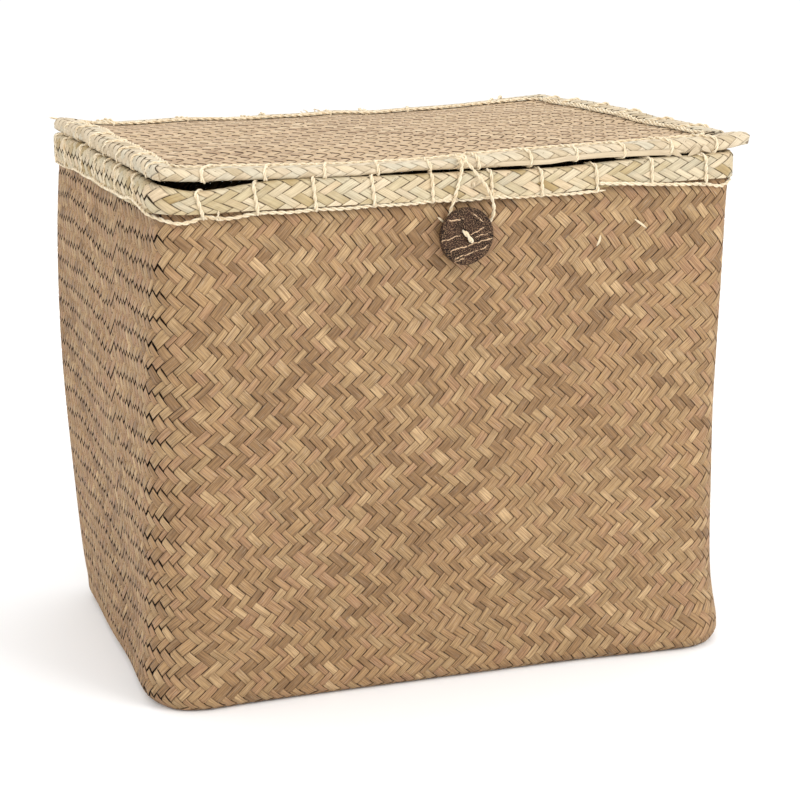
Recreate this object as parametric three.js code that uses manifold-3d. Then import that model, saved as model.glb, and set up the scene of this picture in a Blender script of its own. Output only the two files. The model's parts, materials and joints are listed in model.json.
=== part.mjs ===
// A plaited seagrass box with a flat lid tied on by twine and closed by a coconut button.
// Millimetres, +Z up, front towards -Y, origin under the middle of the base.

import * as THREE from 'three';
import { mergeVertices } from 'three/addons/utils/BufferGeometryUtils.js';
import Module from 'manifold-3d';

const wasm = await Module();
wasm.setup();

// Outline of the folded rim, and the height of its top.
const bodyWidth = 440;
const bodyDepth = 330;
const rimHeight = 382;
const rimCornerRadius = 20;

// Plaited wall and its soft shape below the rim.
const wall = 3;
const waistCornerRadius = 24;
const footCornerRadius = 42;
const footEdgeRadius = 11;
const footHeightShare = 0.05;
const waistHeightShare = 0.42;

// How far each upright corner stands out of the rim's outline, as shares of the width.
const waistShares = {
  FL: [0.0043, -0.0061], FR: [-0.0176, -0.0061], BR: [-0.0176, -0.0061], BL: [0.0043, -0.0061],
};
const footShares = {
  FL: [-0.0055, -0.0525], FR: [0.021, -0.002], BR: [-0.0185, -0.031], BL: [-0.0119, -0.031],
};
const wallLevelShares = [0.08, 0.16, 0.26, 0.38, 0.5, 0.64, 0.78];
const footEdgeShares = [0, 1 / 3, 2 / 3];

// Pale band folded over the rim, and the flat cane hoop inside it.
const bandThickness = 1.6;
const bandHeight = 20;
const bandFold = 1.2;
const hoopThickness = 2;
const hoopHeight = 14;
const neckDrop = 6;

// Lid: a plaited panel in a folded border, stiffened by a cane hoop.
const lidInset = 2;
const lidCornerRadius = 10;
const borderHeight = 10;
const borderLeg = 16;
const borderTopLeg = 1.8;
const borderBottomLeg = 3.4;
const borderFold = 2.4;
const panelThickness = 3;
const lidHoopWidth = 4.2;
const borderEndLength = 9;
const borderEndWidth = 13;
const borderEndHeight = 7.6;
const borderEndLift = 1.6;

// Twine, and what it is tied to.
const twineRadius = 1.35;
const loopRadius = 1.2;
const shankRadius = 2;
const knotRadius = 3.2;
const innerKnotRadius = 4.2;
const innerKnotThickness = 3;
const tieHoleDrop = 12;
const rimStitchShares = {
  front: [-0.43, -0.343, -0.25, -0.155, -0.057, 0.043, 0.13, 0.227, 0.327, 0.427],
  right: [-0.39, -0.26, -0.13, 0, 0.13, 0.26, 0.39],
  back: [-0.45, -0.35, -0.25, -0.15, -0.05, 0.05, 0.15, 0.25, 0.35, 0.45],
  left: [-0.345, -0.188, -0.09, 0, 0.139, 0.318, 0.418],
};
const lidWrapShares = {
  front: [-0.425, -0.327, -0.232, -0.145, -0.059, 0.023, 0.114, 0.195, 0.28, 0.366, 0.45],
  right: [-0.42, -0.28, -0.14, 0, 0.14, 0.28, 0.42],
  back: [-0.45, -0.35, -0.25, -0.15, -0.05, 0.05, 0.15, 0.25, 0.35, 0.45],
  left: [-0.424, -0.306, -0.18, -0.055, 0.076, 0.221, 0.342],
};
const hingeTieShares = [-0.4, -0.1, 0.1, 0.4];

// Coconut button and the twine loop that catches it.
const buttonRadius = 20;
const buttonThickness = 4.4;
const buttonEdge = 1.3;
const buttonHoleSpacing = 9.4;
const buttonHoleAngle = 40.3;
const buttonDrop = 44.6;
const buttonShare = -0.004;
const buttonStandOff = 6.5;
const closureShare = -0.006;

// Route of the closing loop: [x, z] shares of the button's radius from its middle, and what it lies on.
const loopRouteShares = [
  [-0.22, 1.93, 'band'], [-0.36, 1.2, 'band'], [-0.5, 0.78, 'wall'], [-0.42, 0.1, 'wall'],
  [0, -0.36, 'wall'], [0.5, -0.02, 'wall'], [0.9, 0.3, 'bulge'], [1.02, 0.62, 'edge'],
  [1, 1.1, 'stitch'], [0.85, 1.5, 'stitch'], [0.5, 2, 'band'],
];

// Clearances, and the overrun of every cut.
const fit = 0.3;
const lacingClearance = 0.25;
const overrun = 5;

// Fineness of the round shapes.
const cornerSteps = 5;
const twineSides = 5;
const discSegments = 32;
const loopSteps = 26;
const mitreLimitShare = 0.5;

const corners = ['FL', 'FR', 'BR', 'BL'];
const signs = { FL: [-1, -1], FR: [1, -1], BR: [1, 1], BL: [-1, 1] };
const startAngles = { FL: Math.PI, FR: 1.5 * Math.PI, BR: 0, BL: 0.5 * Math.PI };

// Places that several pieces share, from the rim's outer face inwards or from the base up.
const bandBottom = rimHeight - bandHeight;
const neckStep = bandThickness + fit + hoopThickness + fit;
const bandInnerFace = neckStep + wall + fit;
const rimThickness = bandInnerFace + bandThickness;
const bodyTop = rimHeight - bandThickness - fit;
const neckHeight = bandBottom - neckDrop;
const lineHeight = bandBottom - fit - twineRadius;
const twineOut = fit + twineRadius;
const lidBottom = rimHeight + fit + 2 * twineRadius + fit;
const panelBottom = lidBottom + borderHeight - borderTopLeg - fit - panelThickness;
const hoopCavity = borderTopLeg + fit + lidHoopWidth + fit;
const panelEdge = hoopCavity + fit;
const seamInset = borderLeg - 2 * fit - twineRadius;
const lidHalfX = bodyWidth / 2 - lidInset;
const lidHalfY = bodyDepth / 2 - lidInset;
const seamHeight = lidBottom + borderHeight + twineOut;
const buttonX = buttonShare * bodyWidth;
const buttonZ = rimHeight - buttonDrop;

// Solids

/** A solid from points and triangles, turned so that its faces point out. */
function solidFrom(points, triangles) {
  const volume = triangles
    .reduce((sum, [a, b, c]) => sum + points[a].dot(points[b].clone().cross(points[c])), 0);
  const order = volume < 0 ? triangles.map(([a, b, c]) => [a, c, b]) : triangles;
  const vertProperties = new Float32Array(points.flatMap((p) => p.toArray()));
  const triVerts = new Uint32Array(order.flat());
  return new wasm.Manifold(new wasm.Mesh({ numProp: 3, vertProperties, triVerts }));
}

/** A solid from a closed three.js geometry. */
function solidOf(geometry) {
  geometry.deleteAttribute('normal');
  geometry.deleteAttribute('uv');
  const merged = mergeVertices(geometry);
  const vertProperties = new Float32Array(merged.attributes.position.array);
  const triVerts = new Uint32Array(merged.index.array);
  return new wasm.Manifold(new wasm.Mesh({ numProp: 3, vertProperties, triVerts }));
}

/** A named mesh with its own plain material. */
function piece(name, solid, finish) {
  const { numProp, vertProperties, triVerts } = solid.getMesh();
  const geometry = new THREE.BufferGeometry();
  geometry.setAttribute('position', new THREE.BufferAttribute(new Float32Array(vertProperties), numProp));
  geometry.setIndex(new THREE.BufferAttribute(new Uint32Array(triVerts), 1));
  geometry.computeVertexNormals();
  const mesh = new THREE.Mesh(geometry, new THREE.MeshStandardMaterial(finish));
  mesh.name = name;
  return mesh;
}

/** Points of a rounded four-cornered outline at one height, counterclockwise from the front left. */
function roundedRing(cornerPoints, radius, z) {
  const points = [];
  for (const corner of corners) {
    const [x, y] = cornerPoints[corner];
    const [sx, sy] = signs[corner];
    for (let step = 0; step <= cornerSteps; step += 1) {
      const angle = startAngles[corner] + (step / cornerSteps) * (Math.PI / 2);
      const px = x - sx * radius + radius * Math.cos(angle);
      const py = y - sy * radius + radius * Math.sin(angle);
      points.push(new THREE.Vector3(px, py, z));
    }
  }
  return points;
}

/** A rounded rectangle at one height, drawn in by an inset; its corners stay slightly round. */
function insetRing(halfX, halfY, radius, inset, z) {
  const cornerPoints = {};
  for (const corner of corners) {
    const [sx, sy] = signs[corner];
    cornerPoints[corner] = [sx * (halfX - inset), sy * (halfY - inset)];
  }
  return roundedRing(cornerPoints, Math.max(radius - inset, fit), z);
}

/** Triangles between successive rings with the same number of points. */
function skin(rings, closed) {
  const count = rings[0].length;
  const triangles = [];
  const last = closed ? rings.length : rings.length - 1;
  for (let level = 0; level < last; level += 1) {
    const low = level * count;
    const high = ((level + 1) % rings.length) * count;
    for (let i = 0; i < count; i += 1) {
      const next = (i + 1) % count;
      triangles.push([low + i, low + next, high + next], [low + i, high + next, high + i]);
    }
  }
  return triangles;
}

/** A solid that fills a stack of rings, with flat ends. */
function stack(rings) {
  const points = rings.flat();
  const triangles = skin(rings, false);
  const count = rings[0].length;
  for (const [start, turn] of [[0, false], [points.length - count, true]]) {
    const middle = new THREE.Vector3();
    for (let i = 0; i < count; i += 1) middle.add(points[start + i]);
    const hub = points.push(middle.divideScalar(count)) - 1;
    for (let i = 0; i < count; i += 1) {
      const a = start + i;
      const b = start + ((i + 1) % count);
      triangles.push(turn ? [a, b, hub] : [b, a, hub]);
    }
  }
  return solidFrom(points, triangles);
}

/** A hoop round the box: a closed profile of [inset, height] points swept along a rounded rectangle. */
function hoop(halfX, halfY, radius, profile) {
  const rings = profile.map(([inset, z]) => insetRing(halfX, halfY, radius, inset, z));
  return solidFrom(rings.flat(), skin(rings, true));
}

/** Twine laid round a closed flat loop of points, mitred at each point. */
function twineLoop(path, planeNormal, radius) {
  const rings = path.map((point, i) => {
    const before = point.clone().sub(path[(i + path.length - 1) % path.length]).normalize();
    const after = path[(i + 1) % path.length].clone().sub(point).normalize();
    const along = before.clone().add(after).normalize();
    const side = planeNormal.clone().cross(along).normalize();
    const stretch = 1 / Math.max(along.dot(after), mitreLimitShare);
    return Array.from({ length: twineSides }, (_, k) => {
      const angle = ((k + 0.5) / twineSides) * 2 * Math.PI;
      return point.clone()
        .addScaledVector(side, radius * Math.cos(angle) * stretch)
        .addScaledVector(planeNormal, radius * Math.sin(angle));
    });
  });
  return solidFrom(rings.flat(), skin(rings, true));
}

/** A round rod between two points. */
function rod(from, to, radius) {
  const span = to.clone().sub(from);
  const geometry = new THREE.CylinderGeometry(radius, radius, span.length(), 2 * twineSides);
  const direction = span.clone().normalize();
  const turn = new THREE.Quaternion().setFromUnitVectors(new THREE.Vector3(0, 1, 0), direction);
  geometry.applyQuaternion(turn);
  geometry.translate(...from.clone().add(to).divideScalar(2).toArray());
  return solidOf(geometry);
}

/** A box between two corners. */
function block(low, high) {
  const size = high.clone().sub(low);
  const geometry = new THREE.BoxGeometry(size.x, size.y, size.z);
  geometry.translate(...low.clone().add(high).divideScalar(2).toArray());
  return solidOf(geometry);
}

/** All solids joined into one. */
function join(solids) {
  return solids.reduce((whole, solid) => whole.add(solid));
}

// Shape of the wall

/** A value that runs smoothly through its foot, waist and neck values as the height grows. */
function throughHeights(z, foot, waist, neck) {
  const heights = [footHeightShare * rimHeight, waistHeightShare * rimHeight, neckHeight];
  const values = [foot, waist, neck];
  const at = Math.min(Math.max(z, heights[0]), neckHeight);
  return values.reduce((sum, value, i) => {
    const others = heights.filter((height, j) => j !== i);
    const weight = others.reduce((product, height) => product * (at - height) / (heights[i] - height), 1);
    return sum + value * weight;
  }, 0);
}

/** Upright corners of the wall's outer face at one height, drawn in by an inset. */
function wallCorners(z, inset) {
  const cornerPoints = {};
  for (const corner of corners) {
    const [sx, sy] = signs[corner];
    const [waistX, waistY] = waistShares[corner];
    const [footX, footY] = footShares[corner];
    const outX = throughHeights(z, footX * bodyWidth, waistX * bodyWidth, -neckStep);
    const outY = throughHeights(z, footY * bodyWidth, waistY * bodyWidth, -neckStep);
    cornerPoints[corner] = [sx * (bodyWidth / 2 + outX - inset), sy * (bodyDepth / 2 + outY - inset)];
  }
  return cornerPoints;
}

/** One ring of the wall, `depth` inside its outer face. */
function wallRing(z, edgeInset, depth, height) {
  const radius = throughHeights(z, footCornerRadius, waistCornerRadius, rimCornerRadius - neckStep);
  const inset = edgeInset + depth;
  return roundedRing(wallCorners(z, inset), radius - depth - edgeInset / 2, height);
}

/** The wall and base filled solid, `depth` inside the outer face. */
function bodyFill(depth, top) {
  const edge = footEdgeRadius - depth;
  const rings = footEdgeShares.map((share) => {
    const angle = share * (Math.PI / 2);
    const z = edge * (1 - Math.cos(angle));
    return wallRing(z + depth, edge * (1 - Math.sin(angle)), depth, z + depth);
  });
  rings.push(wallRing(footEdgeRadius, 0, depth, footEdgeRadius));
  for (const share of wallLevelShares) rings.push(wallRing(share * rimHeight, 0, depth, share * rimHeight));
  rings.push(wallRing(neckHeight, 0, depth, neckHeight), wallRing(top, 0, depth, top));
  return stack(rings);
}

/** Where the front wall's outer face is, in Y, at a place in X and Z. */
function frontWallY(x, z) {
  const { FL, FR } = wallCorners(z, 0);
  return FL[1] + ((x - FL[0]) / (FR[0] - FL[0])) * (FR[1] - FL[1]);
}

// Lashing

/** A point of one side of the box: `along` the side, `inset` from the outer face, at a height. */
function sidePoint(side, halfX, halfY, along, inset, z) {
  if (side === 'front') return new THREE.Vector3(along, -halfY + inset, z);
  if (side === 'back') return new THREE.Vector3(along, halfY - inset, z);
  if (side === 'left') return new THREE.Vector3(-halfX + inset, along, z);
  return new THREE.Vector3(halfX - inset, along, z);
}

/** A loop of twine tied round an edge, from an outer inset to an inner one and from a low height up. */
function tieRound(side, halfX, halfY, along, [outer, inner], [low, high], radius) {
  const path = [[outer, low], [inner, low], [inner, high], [outer, high]]
    .map(([inset, z]) => sidePoint(side, halfX, halfY, along, inset, z));
  const alongX = side === 'front' || side === 'back';
  return twineLoop(path, new THREE.Vector3(alongX ? 1 : 0, alongX ? 0 : 1, 0), radius);
}

/** Ties at each share of each side's length. */
function tiesAt(shares, build) {
  return Object.entries(shares).flatMap(([side, list]) => {
    const length = side === 'front' || side === 'back' ? bodyWidth : bodyDepth;
    return list.map((share) => build(side, share * length));
  });
}

/** Stitches over the rim, through the wall just under the band. */
function rimStitches(radius) {
  const insets = [-twineOut, rimThickness + twineOut];
  const heights = [lineHeight, rimHeight + twineOut];
  return tiesAt(rimStitchShares, (side, along) => (
    tieRound(side, bodyWidth / 2, bodyDepth / 2, along, insets, heights, radius)));
}

/** One wrap round the lid's border; its lower run lies in a groove, level with the border's underside. */
function lidWrap(side, along, inner, radius) {
  const heights = [lidBottom + twineRadius, seamHeight];
  return tieRound(side, lidHalfX, lidHalfY, along, [-twineOut, inner], heights, radius);
}

/** All wraps round the lid's border, each caught by the seam. */
function lidWraps(radius) {
  return tiesAt(lidWrapShares, (side, along) => lidWrap(side, along, seamInset, radius));
}

/** The wrap that carries the closing loop, just outside the seam. */
function closureWrap(radius) {
  return lidWrap('front', closureShare * bodyWidth, seamInset - 2 * twineRadius - fit, radius);
}

/** The ties at the back that hinge the lid to the rim. */
function hingeTies(radius) {
  const insets = [-twineOut, rimThickness + twineOut];
  const heights = [rimHeight - tieHoleDrop, seamHeight];
  return hingeTieShares.map((share) => (
    tieRound('back', bodyWidth / 2, bodyDepth / 2, share * bodyWidth, insets, heights, radius)));
}

// Pieces

const lacingHoleRadius = twineRadius + lacingClearance;

/** A hoop of the rim from its profile of insets and heights. */
function rimHoopOf(profile) {
  return hoop(bodyWidth / 2, bodyDepth / 2, rimCornerRadius, profile);
}

/** The plaited body: base and four soft walls, with its lacing holes. */
function wovenBody() {
  const shell = bodyFill(0, bodyTop).subtract(bodyFill(wall, bodyTop + overrun));
  const cuts = [
    ...rimStitches(lacingHoleRadius), ...hingeTies(lacingHoleRadius), buttonShank(lacingClearance),
  ];
  return cuts.reduce((body, cut) => body.subtract(cut), shell);
}

/** The pale band folded over the rim. */
function rimBand() {
  const band = rimHoopOf([
    [0, bandBottom], [0, rimHeight - bandFold], [bandFold, rimHeight],
    [rimThickness - bandFold, rimHeight], [rimThickness, rimHeight - bandFold], [rimThickness, bandBottom],
    [bandInnerFace, bandBottom], [bandInnerFace, rimHeight - bandThickness],
    [bandThickness, rimHeight - bandThickness], [bandThickness, bandBottom],
  ]);
  return hingeTies(lacingHoleRadius).reduce((whole, cut) => whole.subtract(cut), band);
}

/** The flat cane hoop between the band and the wall. */
function rimCane() {
  const outer = bandThickness + fit;
  const inner = outer + hoopThickness;
  const low = bodyTop - hoopHeight;
  const section = [[outer, low], [outer, bodyTop], [inner, bodyTop], [inner, low]];
  return hingeTies(lacingHoleRadius).reduce((whole, cut) => whole.subtract(cut), rimHoopOf(section));
}

/** Running twine along the band's lower edge, joined by the stitches over the rim. */
function rimLashing() {
  const line = insetRing(bodyWidth / 2, bodyDepth / 2, rimCornerRadius, neckStep - twineOut, lineHeight);
  return join([twineLoop(line, new THREE.Vector3(0, 0, 1), twineRadius), ...rimStitches(twineRadius)]);
}

/** Cuts a lid piece where the wraps, the closing loop's wrap and the hinge ties pass. */
function laced(solid) {
  const cuts = [
    ...lidWraps(lacingHoleRadius), closureWrap(lacingHoleRadius), ...hingeTies(lacingHoleRadius),
  ];
  return cuts.reduce((whole, cut) => whole.subtract(cut), solid);
}

/** The lid's plaited panel. */
function lidPanel() {
  const rings = [panelBottom, panelBottom + panelThickness]
    .map((z) => insetRing(lidHalfX, lidHalfY, lidCornerRadius, panelEdge, z));
  return laced(stack(rings));
}

/** The cane hoop inside the lid's border. */
function lidCane() {
  const outer = borderTopLeg + fit;
  const inner = outer + lidHoopWidth;
  const low = lidBottom + borderBottomLeg + fit;
  const high = lidBottom + borderHeight - borderTopLeg - fit;
  const section = [[outer, low], [outer, high], [inner, high], [inner, low]];
  return hoop(lidHalfX, lidHalfY, lidCornerRadius, section);
}

/** The folded border as one hoop, before it is cut into its four strips. */
function borderHoop() {
  const top = lidBottom + borderHeight;
  const underTop = top - borderTopLeg;
  const slotFloor = panelBottom - fit;
  return hoop(lidHalfX, lidHalfY, lidCornerRadius, [
    [borderFold, lidBottom], [0, lidBottom + borderFold], [0, top - borderFold], [borderFold, top],
    [borderLeg, top], [borderLeg, underTop], [borderTopLeg, underTop],
    [borderTopLeg, lidBottom + borderBottomLeg], [hoopCavity, lidBottom + borderBottomLeg],
    [hoopCavity, slotFloor], [borderLeg, slotFloor], [borderLeg, lidBottom],
  ]);
}

/** The upright prism over one strip's share of the border, from its plan. */
function stripPrism(plan) {
  const shape = new THREE.Shape(plan.map(([x, y]) => new THREE.Vector2(x, y)));
  const depth = borderHeight + 2 * overrun;
  const geometry = new THREE.ExtrudeGeometry(shape, { depth, bevelEnabled: false });
  geometry.translate(0, 0, lidBottom - overrun);
  return solidOf(geometry);
}

/** The four strips of the border: mitred, but for the front strip's end that runs past the right side. */
function borderStrips() {
  const reach = borderLeg + overrun;
  const butt = -lidHalfY + borderLeg + fit;
  const gap = fit * Math.SQRT2;
  const farX = lidHalfX + overrun;
  const farY = lidHalfY + overrun;
  const inX = lidHalfX - reach;
  const inY = lidHalfY - reach;
  const mitreEnd = -lidHalfX + borderLeg + fit + gap;
  const plans = {
    front: [[-farX + gap, -farY], [farX, -farY], [farX, butt], [mitreEnd, butt]],
    right: [[inX, butt + fit], [farX, butt + fit], [farX, farY - gap], [inX, inY - gap]],
    back: [[inX, inY], [farX, farY], [-farX, farY], [-inX, inY]],
    left: [[-farX, -farY], [-inX, -inY], [-inX, inY - gap], [-farX, farY - gap]],
  };
  const whole = laced(borderHoop());
  const strips = {};
  for (const [side, plan] of Object.entries(plans)) strips[side] = whole.intersect(stripPrism(plan));
  const endX = lidHalfX - borderTopLeg / 2;
  const low = new THREE.Vector3(endX, -lidHalfY + borderFold / 2, lidBottom + borderEndLift);
  const size = new THREE.Vector3(borderTopLeg / 2 + borderEndLength, borderEndWidth, borderEndHeight);
  strips.front = strips.front.add(block(low, low.clone().add(size)));
  return strips;
}

/** The seam twine on top of the border, joined by the wraps. */
function lidLashing() {
  const seam = insetRing(lidHalfX, lidHalfY, lidCornerRadius, seamInset, seamHeight);
  return join([twineLoop(seam, new THREE.Vector3(0, 0, 1), twineRadius), ...lidWraps(twineRadius)]);
}

/** The wrap and knot on the lid's front edge that carry the closing loop. */
function closureKnot() {
  const middle = lidBottom + borderHeight / 2;
  const knot = new THREE.SphereGeometry(knotRadius, 2 * twineSides, twineSides);
  knot.translate(closureShare * bodyWidth, -lidHalfY - fit - knotRadius, middle);
  return closureWrap(twineRadius).add(solidOf(knot));
}

const buttonWallY = frontWallY(buttonX, buttonZ);
const buttonBack = buttonWallY - buttonStandOff;
const buttonFront = buttonBack - buttonThickness;

/** The two holes of the button, as [x, z] offsets from its middle. */
function buttonHoles() {
  const angle = THREE.MathUtils.degToRad(buttonHoleAngle);
  const reach = buttonHoleSpacing / 2;
  return [-1, 1].map((side) => [side * reach * Math.sin(angle), -side * reach * Math.cos(angle)]);
}

/** The coconut-shell disc with its two holes. */
function coconutButton() {
  const half = buttonThickness / 2;
  const inner = buttonRadius - buttonEdge;
  const profile = [
    [0, -half], [inner, -half], [buttonRadius, -half + buttonEdge],
    [buttonRadius, half - buttonEdge], [inner, half], [0, half],
  ].map(([x, y]) => new THREE.Vector2(x, y));
  const disc = new THREE.LatheGeometry(profile, discSegments);
  disc.translate(buttonX, (buttonFront + buttonBack) / 2, buttonZ);
  return buttonHoles().reduce((solid, [x, z]) => {
    const from = new THREE.Vector3(buttonX + x, buttonFront - overrun, buttonZ + z);
    const to = new THREE.Vector3(buttonX + x, buttonBack + overrun, buttonZ + z);
    return solid.subtract(rod(from, to, loopRadius + lacingClearance));
  }, solidOf(disc));
}

/** The button's shank through the wall, thicker by a clearance where it is used as a cutter. */
function buttonShank(extra) {
  const from = new THREE.Vector3(buttonX, buttonBack + fit + loopRadius, buttonZ);
  const to = new THREE.Vector3(buttonX, buttonWallY + wall + fit + innerKnotThickness / 2, buttonZ);
  return rod(from, to, shankRadius + extra);
}

/** The twine through the button's holes, its shank and the knot inside the wall. */
function buttonTwine() {
  const front = buttonFront - fit - loopRadius;
  const back = buttonBack + fit + loopRadius;
  const [[x0, z0], [x1, z1]] = buttonHoles();
  const path = [[x0, front, z0], [x1, front, z1], [x1, back, z1], [x0, back, z0]]
    .map(([x, y, z]) => new THREE.Vector3(buttonX + x, y, buttonZ + z));
  const normal = path[1].clone().sub(path[0]).cross(path[2].clone().sub(path[1])).normalize();
  const inside = buttonWallY + wall + fit;
  const knot = rod(new THREE.Vector3(buttonX, inside, buttonZ),
    new THREE.Vector3(buttonX, inside + innerKnotThickness, buttonZ), innerKnotRadius);
  return join([twineLoop(path, normal, loopRadius), buttonShank(0), knot]);
}

/** The closing loop: from the knot on the lid down behind the button, round its shank and back. */
function closureLoop() {
  const knotX = closureShare * bodyWidth;
  const knotY = -lidHalfY - fit - knotRadius;
  const knotZ = lidBottom + borderHeight / 2 - knotRadius - fit;
  const strandSpread = loopRadius + fit;
  const overBand = -bodyDepth / 2 - fit - loopRadius;
  const behindButton = buttonWallY - 3 * fit - loopRadius;
  const depths = {
    band: overBand,
    stitch: overBand - 2 * twineRadius - fit,
    edge: overBand - fit,
    bulge: behindButton - 2 * fit,
    wall: behindButton,
  };
  const route = loopRouteShares.map(([x, z, layer]) => (
    new THREE.Vector3(buttonX + x * buttonRadius, depths[layer], buttonZ + z * buttonRadius)));
  const points = [
    new THREE.Vector3(knotX - strandSpread, knotY, knotZ), ...route,
    new THREE.Vector3(knotX + strandSpread, knotY, knotZ),
  ];
  const section = new THREE.Shape(Array.from({ length: twineSides }, (_, k) => {
    const angle = (k / twineSides) * 2 * Math.PI;
    return new THREE.Vector2(loopRadius * Math.cos(angle), loopRadius * Math.sin(angle));
  }));
  const extrudePath = new THREE.CatmullRomCurve3(points);
  const options = { steps: loopSteps, extrudePath, bevelEnabled: false };
  return solidOf(new THREE.ExtrudeGeometry(section, options));
}

// The box

const seagrass = { color: 0xb49164, roughness: 0.8, metalness: 0 };
const paleSeagrass = { color: 0xc8aa8c, roughness: 0.8, metalness: 0 };
const palmLeaf = { color: 0xd7cda5, roughness: 0.6, metalness: 0 };
const cane = { color: 0xc9a876, roughness: 0.6, metalness: 0 };
const twine = { color: 0xf0e4c3, roughness: 0.85, metalness: 0 };
const coconutShell = { color: 0x41322d, roughness: 0.45, metalness: 0 };

const box = new THREE.Group();
box.add(piece('woven_body', wovenBody(), seagrass));
box.add(piece('rim_hoop', rimCane(), cane));
box.add(piece('rim_band', rimBand(), palmLeaf));
box.add(piece('rim_lashing', rimLashing(), twine));
box.add(piece('lid_panel', lidPanel(), paleSeagrass));
box.add(piece('lid_hoop', lidCane(), cane));
for (const [side, strip] of Object.entries(borderStrips())) {
  box.add(piece(`lid_border_${side}`, strip, palmLeaf));
}
box.add(piece('lid_lashing', lidLashing(), twine));
hingeTies(twineRadius).forEach((tie, index) => box.add(piece(`hinge_tie_${index + 1}`, tie, twine)));
box.add(piece('closure_knot', closureKnot(), twine));
box.add(piece('closure_loop', closureLoop(), twine));
box.add(piece('coconut_button', coconutButton(), coconutShell));
box.add(piece('button_twine', buttonTwine(), twine));

export default box;
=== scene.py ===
"""A plaited seagrass box with a folded palm-leaf rim, a lid tied on with twine and a coconut button.

Metres, +Z up, front towards -Y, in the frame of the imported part.
"""

import json
import logging
import math
from dataclasses import dataclass, field, replace
from enum import Enum, IntEnum

import bpy
import numpy as np
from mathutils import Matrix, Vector

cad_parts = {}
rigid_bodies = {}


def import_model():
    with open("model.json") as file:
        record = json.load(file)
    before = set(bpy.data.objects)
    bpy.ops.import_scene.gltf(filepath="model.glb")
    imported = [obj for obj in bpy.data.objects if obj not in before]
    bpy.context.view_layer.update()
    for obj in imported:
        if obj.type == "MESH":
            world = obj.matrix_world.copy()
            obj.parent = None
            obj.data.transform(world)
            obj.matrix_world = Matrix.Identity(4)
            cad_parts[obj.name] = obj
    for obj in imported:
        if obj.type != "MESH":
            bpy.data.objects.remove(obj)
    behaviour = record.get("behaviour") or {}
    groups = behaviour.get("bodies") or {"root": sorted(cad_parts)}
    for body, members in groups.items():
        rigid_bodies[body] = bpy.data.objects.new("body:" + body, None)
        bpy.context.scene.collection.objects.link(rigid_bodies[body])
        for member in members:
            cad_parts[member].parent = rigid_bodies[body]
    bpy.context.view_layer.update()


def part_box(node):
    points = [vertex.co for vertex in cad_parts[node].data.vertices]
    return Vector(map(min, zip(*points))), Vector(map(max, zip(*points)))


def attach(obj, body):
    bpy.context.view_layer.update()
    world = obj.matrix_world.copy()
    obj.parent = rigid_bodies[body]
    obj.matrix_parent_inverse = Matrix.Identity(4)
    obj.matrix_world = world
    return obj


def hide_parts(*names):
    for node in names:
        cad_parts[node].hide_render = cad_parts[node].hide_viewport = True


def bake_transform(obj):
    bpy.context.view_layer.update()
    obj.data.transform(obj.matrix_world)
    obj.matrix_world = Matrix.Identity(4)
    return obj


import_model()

MM = 0.001
LOG = logging.getLogger("woven_box")
TWO_PI = 2 * math.pi
Array = np.ndarray
Material = bpy.types.Material
Object = bpy.types.Object
Socket = bpy.types.NodeSocket
CHART_REACH = 0.06
CORNER_X = np.array([-1, 1, 1, -1])
CORNER_Y = np.array([-1, -1, 1, 1])
CORNER_START = np.array([1.0, 1.5, 0.0, 0.5]) * math.pi


class Side(IntEnum):
    """The sides of the box, counterclockwise from the front."""

    FRONT = 0
    RIGHT = 1
    BACK = 2
    LEFT = 3


class Family(Enum):
    """The two directions of a plait's strips: down to the right, or up to the right."""

    FALLING = "falling"
    RISING = "rising"


# Shader building


class Scalar:
    """A number in a node tree, so that shader maths reads as Python expressions."""

    def __init__(self, tree: "Shader", socket: Socket) -> None:
        """Wraps an output socket of a shader's tree."""
        self.tree = tree
        self.socket = socket

    def __add__(self, other: "Scalar | float") -> "Scalar":
        """The sum."""
        return self.tree.math("ADD", self, other)

    __radd__ = __add__

    def __sub__(self, other: "Scalar | float") -> "Scalar":
        """The difference."""
        return self.tree.math("SUBTRACT", self, other)

    def __rsub__(self, other: "Scalar | float") -> "Scalar":
        """The difference, with this value taken away."""
        return self.tree.math("SUBTRACT", other, self)

    def __mul__(self, other: "Scalar | float") -> "Scalar":
        """The product."""
        return self.tree.math("MULTIPLY", self, other)

    __rmul__ = __mul__

    def __abs__(self) -> "Scalar":
        """The size without its sign."""
        return self.tree.math("ABSOLUTE", self)

    def step(self, low: float, high: float) -> "Scalar":
        """A smooth rise from 0 at one value to 1 at another.

        Args:
            low: The value where the rise starts.
            high: The value where it ends.

        Returns:
            The risen value, from 0 to 1.
        """
        sockets = {"Value": self, "From Min": low, "From Max": high}
        node = self.tree.add("ShaderNodeMapRange", {"interpolation_type": "SMOOTHSTEP"}, sockets)
        return Scalar(self.tree, node.outputs["Result"])


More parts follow.
